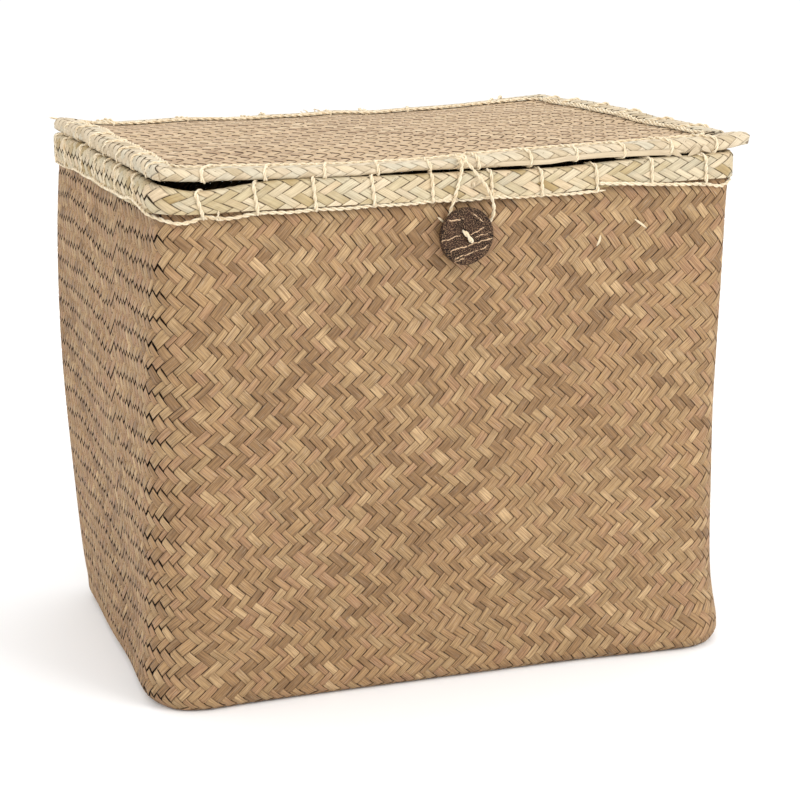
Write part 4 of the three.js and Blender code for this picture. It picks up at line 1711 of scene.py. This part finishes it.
    def loose_bits(self) -> list:
        """The front strip's folded edge, which shows as a flat lower layer, and the leaf tips under it.

        Returns:
            The sweeps.
        """
        face = -LID.half_y - 0.2 * MM
        count = 60
        fold = [(x, face, SIZES.lid_bottom + self.fold_height + self.fold_wave * math.sin(x * 70))
                for x in np.linspace(self.fold_start, self.fold_end, count)]
        halves = np.interp(np.linspace(0, 1, count), (0, 0.04, 0.96, 1), (0.3, 1.7, 2.1, 0.3)) * MM
        sweeps = [leaf_bit(LID_DRAPE.moved(np.array(fold)), halves, (0, -1, 0), 0.5 * MM, 0.25)]
        for number, (start, end, half) in enumerate(self.tips):
            tip = two_ended(start, end, face - (0.2 + number * 0.15) * MM, len(self.tip_halves))
            halves = np.array(self.tip_halves) * half * MM
            sweeps.append(leaf_bit(tip, halves, (0, -1, 0), 0.4 * MM, 0.1 + number * 0.1))
        return sweeps

    def build_panel(self) -> None:
        """Plaits the lid's panel."""
        low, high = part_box("lid_panel")
        middle = (low[2] + high[2]) / 2
        half_x, half_y = SIZES.lid_half_x - self.panel_inset, SIZES.lid_half_y - self.panel_inset
        columns, rows = self.panel_columns, self.panel_rows

        def place(x: Array, y: Array, _: Array) -> Array:
            """A place on the panel's middle surface.

            Args:
                x: How far from the left, in strips.
                y: How far from the front, in strips.

            Returns:
                The points.
            """
            u, v = x / columns * 2 - 1, y / rows * 2 - 1
            edge = (1 - u**2) * (1 - v**2)
            wave = edge * (0.7 * np.sin(5 * u + 1) * np.sin(4 * v + 2) - 0.2) * MM
            u = u + edge * 0.01 * np.sin(9 * v + 3 * u)
            v = v + edge * 0.014 * np.sin(7 * u + 2 * v)
            flat = np.stack([u * half_x, v * half_y, middle + wave], -1)
            return LID_DRAPE.moved(flat)

        lanes = Patch(0, columns, 0, rows).lanes(self.panel_strip, self.panel_fill, 2 * half_x / columns,
                                                 self.panel_spread, np.random.default_rng(self.panel_seed))
        for lane in lanes:
            rises = (lane.x[-1, 0] - lane.x[0, 0]) * (lane.y[-1, 0] - lane.y[0, 0]) > 0
            lane.relief = self.panel_reliefs[0 if rises else 1]
        panel = mesh_from_sweeps("seagrass_lid_panel", lay_lanes(lanes, place, self.panel_strip, 1))
        dress(panel, self.panel_finish.material(), "lid_panel", "lid")


# Twine


@dataclass
class Lashings:
    """The twines that hold the rim and the lid's border, and the ties that hinge the lid.

    Points of the running twine are X or Y and Z, in millimetres. A frayed end is its X and its length.
    """

    twine: Twine = Twine()
    stand: float = 0.8 * MM
    top_stand: float = 0.3 * MM
    line_height: float = 360.35 * MM
    line_wobble: float = 0.6 * MM
    line_inset: float = 2.4 * MM
    line_steps: tuple = ((Side.RIGHT, 11), (Side.BACK, 15))
    rim_thickness: float = 9.1 * MM
    seam_wobble: float = 0.5 * MM
    seam_inset: float = 16.4 * MM
    seam_rise: float = 1.2 * MM
    lid_leg: float = 13.5 * MM
    right_drift: float = 22 * MM
    frayed: tuple = ((-3.4, 4.6), (2.8, 5.4), (8, 3.6), (-8, 2.6), (13, 2.2))
    tie_drop: float = 12 * MM
    rounding: float = 3.6 * MM
    lid_rounding: float = 5.2 * MM
    step: float = 3 * MM
    seed: int = 5
    least_lean: float = -2 * MM
    most_lean: float = 3 * MM
    left_leaning: float = 2.5
    lid_front_leaning: float = 0.5
    rim_shares: dict = field(default_factory=lambda: {
        Side.FRONT: (-0.43, -0.343, -0.25, -0.155, -0.057, 0.043, 0.13, 0.227, 0.327, 0.427),
        Side.RIGHT: (-0.39, -0.26, -0.13, 0, 0.13, 0.26, 0.39),
        Side.BACK: (-0.45, -0.35, -0.25, -0.15, -0.05, 0.05, 0.15, 0.25, 0.35, 0.45),
        Side.LEFT: (-0.345, -0.188, -0.09, 0, 0.139, 0.318, 0.418)})
    front_leans: tuple = (5.2, 3, 2.3, 2.3, 0.8, 1.2, 1.2, 2, 0.8, 1.1)
    lid_shares: dict = field(default_factory=lambda: {
        Side.FRONT: (-0.425, -0.327, -0.232, -0.145, -0.059, 0.023, 0.114, 0.195, 0.28, 0.366, 0.45),
        Side.RIGHT: (-0.36, -0.2, -0.04, 0.12, 0.28, 0.4),
        Side.BACK: (-0.42, -0.27, -0.14, 0.03, 0.107, 0.195, 0.38),
        Side.LEFT: (-0.424, -0.306, -0.18, -0.055, 0.076, 0.221, 0.342)})
    tie_shares: tuple = (-0.4, -0.1, 0.1, 0.4)
    knot: tuple = (-177.5, -165.9, 359.6)
    line_start: tuple = (
        (101.5, 367.5), (124, 366), (145.7, 364.4), (168, 363), (190, 361.9), (206, 359.6))
    line_left: tuple = (
        (145, 359.7), (123, 358.9), (95, 360.8), (65.5, 363.5), (35, 362.6), (6.3, 364.4), (-25, 363.2),
        (-54.6, 364.6), (-82, 364.4), (-105.8, 367.4), (-124, 366), (-138, 364.2), (-150, 361.6))
    line_front: tuple = (
        (-206.5, 357.7), (-196.5, 358.1), (-186, 361), (-179, 359.4), (-168, 358.9), (-149, 361.2),
        (-128, 360.4), (-108.7, 361.2), (-88, 360.6), (-67.2, 361.4), (-45, 361), (-22.6, 362), (0, 361.2),
        (20.7, 362.2), (40, 361), (59, 361.4), (80, 361), (103.2, 361.9), (108, 362.2))

    def rim_line(self) -> list:
        """Points of the running twine along the band's lower edge: one full turn with loose ends in front.

        Returns:
            The points.
        """

        def point(side: Side, along: float, z: float) -> Array:
            """A point of the twine, in front of the band where it is high and on the wall below it.

            Args:
                side: The side of the box.
                along: Where on the side it is, in X or Y.
                z: Its height.

            Returns:
                The point.
            """
            on_band = min(max((z - self.line_height - 1 * MM) / (2 * MM), 0), 1)
            share = RIM.share(side, along)
            at_corner = min(max((share - 0.9) * 20, 0), 1) if side is Side.FRONT else 0
            return RIM.place(side, share, (1.3 + 1.6 * at_corner - 2.4 * on_band) * MM, z)

        points = [point(Side.FRONT, x * MM, z * MM) for x, z in self.line_start]
        for side, steps in self.line_steps:
            for number in range(steps):
                share = (number + 0.15) / (steps - 0.7)
                z = self.line_height + self.line_wobble * math.sin(number * 2.4)
                points.append(RIM_DRAPE.moved(RIM.place(side, share, self.line_inset, z)))
        points += [point(Side.LEFT, y * MM, z * MM) for y, z in self.line_left]
        points += [point(Side.FRONT, x * MM, z * MM) for x, z in self.line_front]
        return points

    def rim_route(self) -> list:
        """Insets and heights of a stitch over the rim.

        Returns:
            The pairs.
        """
        out, over = -self.stand, SIZES.rim_height + self.top_stand
        inner = self.rim_thickness + self.stand
        shape = Section([(out, self.line_height), (out, over), (inner, over), (inner, self.line_height)],
                        self.rounding)
        return shape.spaced(self.step) + [(inner * 0.6, self.line_height - 0.6 * MM),
                                          (inner * 0.25, self.line_height - 0.6 * MM)]

    def lid_route(self) -> list:
        """Insets and heights of a wrap round the lid's border.

        Returns:
            The pairs.
        """
        low, high, out = SIZES.lid_bottom, SIZES.lid_top + 0.1 * MM, -0.1 * MM
        shape = Section([(self.seam_inset - 1 * MM, low), (out, low), (out, high), (self.lid_leg, high),
                         (self.seam_inset, self.seam_height)], (3 * MM, self.lid_rounding, 2.6 * MM))
        return shape.spaced(self.step)

    @property
    def seam_height(self) -> float:
        """The height of the seam's middle."""
        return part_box("lid_panel")[1][2] + self.seam_rise

    def laps(self, edge: Edge, shares: dict, route: list, drape: Drape, random: np.random.Generator) -> list:
        """Loops of twine round an edge at each share of each side.

        Args:
            edge: The edge.
            shares: Shares of the rim's width or depth, for each side.
            route: Insets and heights of one loop.
            drape: How the edge strays.
            random: The source of chance.

        Returns:
            The sweeps.
        """
        sweeps = []
        for side, places in shares.items():
            length = SIZES.width if side in (Side.FRONT, Side.BACK) else SIZES.depth
            for number, share in enumerate(places):
                lean = random.uniform(self.least_lean, self.most_lean)
                if side is Side.FRONT and edge is RIM:
                    lean = self.front_leans[number] * MM
                elif side is Side.LEFT:
                    lean *= self.left_leaning
                elif side is Side.FRONT:
                    lean *= self.lid_front_leaning
                drift = self.right_drift if edge is LID and side is Side.RIGHT else 0
                points = drape.moved(np.array(edge.loop(side, share * length, route, lean, drift)))
                if edge is RIM and side in (Side.FRONT, Side.LEFT):
                    self.end_at_line(points, side, share * length)
                sweeps += self.twine.plies(points, True, float(random.uniform()))
        return sweeps

    def end_at_line(self, points: Array, side: Side, along: float) -> None:
        """Stretches a stitch so that its foot meets the running twine.

        Args:
            points: The stitch's points, which are moved.
            side: The side of the box.
            along: Where on the side it is, in X or Y.
        """
        line = self.line_left[::-1] if side is Side.LEFT else self.line_front
        if side is Side.FRONT and along > self.line_start[0][0] * MM:
            line = self.line_start
        places, heights = np.array(line).T * MM
        low, high = points[:, 2].min(), points[:, 2].max()
        foot = np.interp(along, places, heights) - 0.3 * MM
        points[:, 2] += (foot - low) * (high - points[:, 2]) / (high - low)

    def seam_line(self) -> Array:
        """Points of the seam along the inner edge of the lid's border.

        Returns:
            The points.
        """
        points = []
        for side in Side:
            for share in np.linspace(0.03, 0.97, 24):
                wobble = self.seam_wobble * math.sin(share * 41 + side * 2)
                points.append(LID.place(side, share, self.seam_inset + wobble, self.seam_height))
        return LID_DRAPE.moved(np.array(points))

    def second_seam(self) -> Array:
        """Points of the seam's second strand, which winds about the first on the right side.

        Returns:
            The points.
        """
        points = []
        for number, share in enumerate(np.linspace(0.04, 0.95, 46)):
            inset = self.seam_inset + (math.sin(number * 0.9) - 0.6) * MM
            z = self.seam_height + (0.3 + 0.6 * math.cos(number * 0.9)) * MM
            points.append(LID.place(Side.RIGHT, share, inset, z))
        return LID_DRAPE.moved(np.array(points))

    def loose_fibres(self) -> list:
        """Frayed twine ends on the lid's back edge and at its back left corner.

        Returns:
            The sweeps.
        """
        thin = Twine(0.55 * MM, 8 * MM, 0.9 * MM)
        sweeps = []
        for number, (x, length) in enumerate(self.frayed):
            start = np.array((x * MM, LID.half_y - 3 * MM, SIZES.lid_top - 0.6 * MM))
            way = np.array((math.sin(number * 2.1) - 0.9, 0.3, 0.55)) * length * MM
            bend = np.array((0, 0, 0.25)) * length * MM
            points = np.array([start + way * t + bend * t * (1 - t) * 3 for t in (0, 0.3, 0.6, 1)])
            sweeps += thin.plies(LID_DRAPE.moved(points), False, number * 0.23, taper=2 * MM)
        corner = np.array((-LID.half_x + 4 * MM, LID.half_y - 4 * MM, SIZES.lid_top - 1.4 * MM))
        for number, way in enumerate(((-7.5, 1.5, 0.6), (-6, 3.5, -0.6))):
            points = LID_DRAPE.moved(np.array([corner + np.array(way) * t * MM for t in (0, 0.35, 0.7, 1)]))
            sweeps += thin.plies(points, False, number * 0.4, taper=3 * MM)
        return sweeps

    def knots(self) -> list:
        """A small knot of the running twine, with a tail, near the left front corner.

        Returns:
            The sweeps.
        """
        knot = [(1.1 * math.cos(a), -0.5 * math.sin(2 * a), 0.9 * math.sin(a))
                for a in np.linspace(0, TWO_PI, 10, endpoint=False)]
        tail = [(0.6 * t, -0.4, 1 + 4.5 * t) for t in (0, 0.4, 0.7, 1)]
        knot, tail = ((np.array(self.knot) + points) * MM for points in (knot, tail))
        thin = Twine(0.9 * MM, 9 * MM, 1 * MM)
        return thin.plies(knot, True, 0.2) + thin.plies(tail, False, 0.6, taper=3 * MM)

    def build(self) -> None:
        """Lays all the twines and dresses them, and sets all but the hinge ties on their bodies."""
        material = TwineFinish("twine").material()
        random = np.random.default_rng(self.seed)
        sweeps = self.twine.plies(self.rim_line(), False, 0.1, taper=5 * MM)
        sweeps += self.laps(RIM, self.rim_shares, self.rim_route(), RIM_DRAPE, random) + self.knots()
        dress(mesh_from_sweeps("twine_rim_lashing", sweeps), material, "rim_lashing", "basket")
        sweeps = self.twine.plies(self.seam_line(), True, 0.4) + self.loose_fibres()
        sweeps += self.twine.plies(self.second_seam(), False, 0.8, taper=4 * MM)
        sweeps += self.laps(LID, self.lid_shares, self.lid_route(), LID_DRAPE, random)
        dress(mesh_from_sweeps("twine_lid_lashing", sweeps), material, "lid_lashing", "lid")
        low, high = SIZES.rim_height - self.tie_drop, SIZES.lid_top + self.stand
        out, inner = -self.stand, self.rim_thickness + self.stand
        section = Section([(out, low), (out, high), (inner, high), (inner, low)], self.rounding)
        route = section.spaced(self.step) + [(inner / 2, low - 0.4 * MM)]
        for number, share in enumerate(self.tie_shares):
            points = np.array(RIM.loop(Side.BACK, share * SIZES.width, route))
            on_lid = points[:, 2:] > SIZES.lid_bottom
            points = np.where(on_lid, LID_DRAPE.moved(points), RIM_DRAPE.moved(points))
            name = f"hinge_tie_{number + 1}"
            tie = mesh_from_sweeps(f"twine_{name}", self.twine.plies(points, True, number * 0.3))
            dress(tie, material, name)
            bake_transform(tie)
        LOG.info("lashings: rim, lid and %d hinge ties", len(self.tie_shares))


@dataclass
class Closure:
    """The coconut button, its twine and the loop that closes the lid.

    A loose end of the knot is its direction in X and Z and its length in millimetres. The disc's profile is
    shares of its radius and of its thickness, from its back to its front.
    """

    twine: Twine = Twine(radius=1.25 * MM, pitch=11 * MM, step=1.1 * MM)
    end_twine: Twine = Twine(0.7 * MM, 9 * MM, 0.9 * MM)
    stitch_twine: Twine = Twine(1.55 * MM, 12 * MM, 1.0 * MM)
    ends: tuple = ((-1, 0.35, 6.5), (-0.8, -0.5, 5.5), (-0.3, 0.8, 4))
    middle_x: float = -1.76 * MM
    middle_z: float = 337.4 * MM
    wall_y: float = -161.8 * MM
    radius: float = 20 * MM
    back: float = -168.3 * MM
    thickness: float = 4.4 * MM
    hole_radius: float = 1.7 * MM
    hole_spacing: float = 9.4 * MM
    hole_angle: float = math.radians(40.3) + 0.2
    hole_sides: int = 24
    around: int = 96
    profile: tuple = (
        (0.6, 0), (0.93, 0), (0.985, 0.07), (1, 0.2), (1, 0.62), (0.985, 0.78), (0.955, 0.9), (0.9, 0.95),
        (0.6, 0.985), (0.3, 1))
    knot: tuple = (-3.4 * MM, -164.4 * MM, 389.4 * MM)
    route: tuple = (
        (-3.2, -165.6, 388.2), (-4.2, -166.3, 381), (-6.1, -166.5, 374), (-8.8, -166.4, 364),
        (-11.2, -165.4, 356), (-12.8, -164.1, 346.4), (-11.4, -163.6, 338.4), (-2.2, -163.5, 328.4),
        (9.4, -163.6, 336), (16.3, -164.6, 343.4), (19.2, -166.4, 348), (20, -167.6, 354),
        (18.6, -168.6, 360), (16.2, -168.8, 366), (12.6, -168.4, 372), (7.6, -167.4, 378.5),
        (2.2, -166.6, 385), (-1.6, -165.9, 388.6))

    def build(self) -> None:
        """Makes, dresses and sets the closing pieces."""
        material = TwineFinish("closing_twine").material()
        loop = self.twine.plies(np.array(self.route) * MM, False, 0.35)
        pieces = (
            ("twine_closing_loop", "closure_loop", "loop", loop),
            ("twine_closing_knot", "closure_knot", "lid", self.knot_sweeps()),
            ("twine_button_stitch", "button_twine", "button", self.button_sweeps()))
        for name, node, body, sweeps in pieces:
            dress(mesh_from_sweeps(name, sweeps), material, node, body)
        self.build_button()
        LOG.info("closure: button, loop and knot")

    def knot_sweeps(self) -> list:
        """The knot on the border's front, its wrap over the border and its frayed ends.

        Returns:
            The sweeps.
        """
        x, y, z = self.knot
        sweeps = self.twine.plies(trefoil((x, y - 0.9 * MM, z), 1.05 * MM, -1.1 * MM, 0.95 * MM), True, 0.2)
        inset, out = 11 * MM, 0.2 * MM
        low, high = SIZES.lid_bottom + 1 * MM, SIZES.lid_top + 0.4 * MM
        shape = Section([(inset, low), (out, low), (out, high), (inset, high)], 5.2 * MM)
        wrap = np.array(LID.loop(Side.FRONT, x, shape.spaced(3 * MM)))
        sweeps += self.twine.plies(LID_DRAPE.moved(wrap), True, 0.7)
        for number, (dx, dz, length) in enumerate(self.ends):
            points = [(x + dx * t * length * MM, y - 1.2 * MM - 0.4 * MM * math.sin(3 * t + number),
                       z + dz * t * length * MM) for t in np.linspace(0, 1, 5)]
            sweeps += self.end_twine.plies(points, False, number * 0.3, taper=3 * MM)
        return sweeps

    def holes(self) -> list:
        """Middles of the button's two holes, in X and Z.

        Returns:
            The pairs.
        """
        out = self.hole_spacing / 2 * math.cos(self.hole_angle)
        up = self.hole_spacing / 2 * math.sin(self.hole_angle)
        return [(self.middle_x - out, self.middle_z + up), (self.middle_x + out, self.middle_z - up)]

    def button_sweeps(self) -> list:
        """The twine through the button's holes, its shank through the wall and its knot inside.

        Returns:
            The sweeps.
        """
        (ax, az), (bx, bz) = self.holes()
        x, z = self.middle_x, self.middle_z
        behind, within = self.back + 1.2 * MM, self.back - self.thickness / 2
        front = self.back - self.thickness - 0.9 * MM
        inside = self.wall_y + 3.6 * MM
        shank = 1.3 * MM
        points = [
            (x - shank, inside, z), (x - shank, self.wall_y, z + 0.3 * MM), (ax, behind, az),
            (ax, within, az), (ax + 0.6 * MM, front, az - 0.6 * MM), (x, front - 0.25 * MM, z),
            (bx - 0.6 * MM, front, bz + 0.6 * MM), (bx, within, bz), (bx, behind, bz),
            (x + shank, self.wall_y, z - 0.3 * MM), (x + shank, inside, z)]
        knot = trefoil((x, inside + 1.4 * MM, z), 1.15 * MM, 1.1 * MM, 1.15 * MM)
        return self.stitch_twine.plies(points, False, 0.15) + self.twine.plies(knot, True, 0.6)

    def build_button(self) -> None:
        """Makes the coconut disc: a slightly domed disc with a worn edge and two holes."""
        rings = []
        for share, depth in self.profile:
            ring = []
            for angle in np.arange(self.around) * TWO_PI / self.around:
                wobble = 1 + 0.006 * math.sin(3 * angle + 1) + 0.004 * math.sin(7 * angle)
                reach = share * self.radius * wobble
                ring.append((self.middle_x + reach * math.cos(angle), self.back - depth * self.thickness,
                             self.middle_z + reach * math.sin(angle)))
            rings.append(ring)
        disc = capped_rings("coconut_disc", rings)
        disc.data.shade_smooth()
        for number, (x, z) in enumerate(self.holes()):
            self.drill(disc, f"hole_{number}", x, z)
        material = CoconutFinish("coconut_shell", self.middle_x, self.middle_z).material()
        dress(disc, material, "coconut_button", "button")

    def drill(self, disc: Object, name: str, x: float, z: float) -> None:
        """Cuts a hole through the disc.

        Args:
            disc: The disc.
            name: The cutter's name.
            x: The hole's place in X.
            z: Its place in Z.
        """
        rings = [[(x + self.hole_radius * math.cos(angle), y, z + self.hole_radius * math.sin(angle))
                  for angle in np.arange(self.hole_sides) * TWO_PI / self.hole_sides]
                 for y in (self.back + 5 * MM, self.back - self.thickness - 5 * MM)]
        cutter = capped_rings(name, rings)
        cut = disc.modifiers.new(name, "BOOLEAN")
        cut.operation, cut.solver, cut.object = "DIFFERENCE", "EXACT", cutter
        bpy.context.view_layer.update()
        made = bpy.data.meshes.new_from_object(disc.evaluated_get(bpy.context.evaluated_depsgraph_get()))
        disc.modifiers.clear()
        old, disc.data = disc.data, made
        bpy.data.meshes.remove(old)
        bpy.data.objects.remove(cutter)


@dataclass
class CaneHoops:
    """The cane hoops inside the rim's band and the lid's border."""

    steps: int = 32
    rim_insets: tuple = (2 * MM, 3.6 * MM)
    rim_heights: tuple = (366.5 * MM, 379 * MM)
    lid_insets: tuple = (2.6 * MM, 6 * MM)
    lid_heights: tuple = (388.6 * MM, 392 * MM)

    def build(self) -> None:
        """Makes, dresses and sets both hoops."""
        material = CaneFinish("cane").material()
        self.hoop("rim_hoop", "basket", RIM, RIM_DRAPE, self.rim_insets, self.rim_heights, material)
        self.hoop("lid_hoop", "lid", LID, LID_DRAPE, self.lid_insets, self.lid_heights, material)
        LOG.info("two cane hoops")

    def hoop(self, node: str, body: str, edge: Edge, drape: Drape, insets: tuple, heights: tuple,
             material: Material) -> None:
        """Makes one hoop.

        Args:
            node: The node that it replaces.
            body: The body that it rides.
            edge: The edge that it follows.
            drape: How the edge strays.
            insets: Its outer and inner insets.
            heights: Its lower and upper heights.
            material: Its material.
        """
        sides = np.repeat(np.arange(4), self.steps)
        shares = np.tile(np.arange(self.steps) / self.steps, 4)
        (outer, inner), (low, high) = insets, heights
        corners = ((outer, low), (inner, low), (inner, high), (outer, high))
        rings = np.stack([drape.moved(edge.place(sides, shares, inset, z)) for inset, z in corners], 1)
        runs = np.arange(len(rings)) * 10 * MM
        hoop = mesh_from_sweeps(f"cane_{node}", [Sweep(rings, runs, np.arange(4.0), 0.5, closed=True)])
        dress(hoop, material, node, body)


# Studio


@dataclass(frozen=True)
class Studio:
    """A pale floor, soft light and the photograph's viewpoint. A lamp is its place, size and power."""

    azimuth: float = -21.56
    elevation: float = 15.04
    lens: float = 85.5
    sensor: float = 36
    position: tuple = (-0.5196, -1.3564, 0.5679)
    floor_size: float = 8.0
    world_strength: float = 1.05
    lamps: tuple = (((-2.0, -1.8, 2.0), 2.2, 25), ((1.5, -2.4, 2.2), 1.4, 50), ((0.2, 1.0, 2.8), 2.0, 14))

    def build(self) -> None:
        """Makes the camera, lights and floor."""
        scene = bpy.context.scene
        a, e = math.radians(self.azimuth), math.radians(self.elevation)
        back = Vector((math.sin(a) * math.cos(e), -math.cos(a) * math.cos(e), math.sin(e)))
        data = bpy.data.cameras.new("photo_view")
        data.lens, data.sensor_width = self.lens, self.sensor
        scene.camera = link("photo_view", data)
        self.aim(scene.camera, self.position, back)
        for number, (place, size, power) in enumerate(self.lamps):
            light = bpy.data.lights.new(f"softbox_{number + 1}", "AREA")
            light.size, light.energy = size, power
            self.aim(link(light.name, light), place, Vector(place) - Vector((0, 0, SIZES.rim_height / 2)))
        world = bpy.data.worlds.new("studio")
        world.use_nodes = True
        inputs = world.node_tree.nodes["Background"].inputs
        inputs["Color"].default_value = (1, 1, 1, 1)
        inputs["Strength"].default_value = self.world_strength
        scene.world = world
        scene.view_settings.view_transform = "Standard"
        mesh = bpy.data.meshes.new("studio_floor")
        corners = np.array([(-1, -1, 0), (1, -1, 0), (1, 1, 0), (-1, 1, 0)]) * self.floor_size / 2
        mesh.from_pydata(corners, [], [(0, 1, 2, 3)])
        mesh.materials.append(PaleFloorFinish(mesh.name).material())
        link(mesh.name, mesh)

    @staticmethod
    def aim(looker: Object, place: tuple, back: Vector) -> None:
        """Sets a camera or lamp in its place, with its back turned this way.

        Args:
            looker: The camera or lamp.
            place: Its place.
            back: The way that its back is turned.
        """
        looker.location = place
        looker.rotation_mode = "QUATERNION"
        looker.rotation_quaternion = back.to_track_quat("Z", "Y")


def main() -> None:
    """Builds and dresses the box."""
    logging.basicConfig(level=logging.INFO, format="%(message)s")
    Studio().build()
    WovenBody().build()
    RimBand().build()
    Lid().build()
    Lashings().build()
    Closure().build()
    CaneHoops().build()


if __name__ == "__main__":
    main()
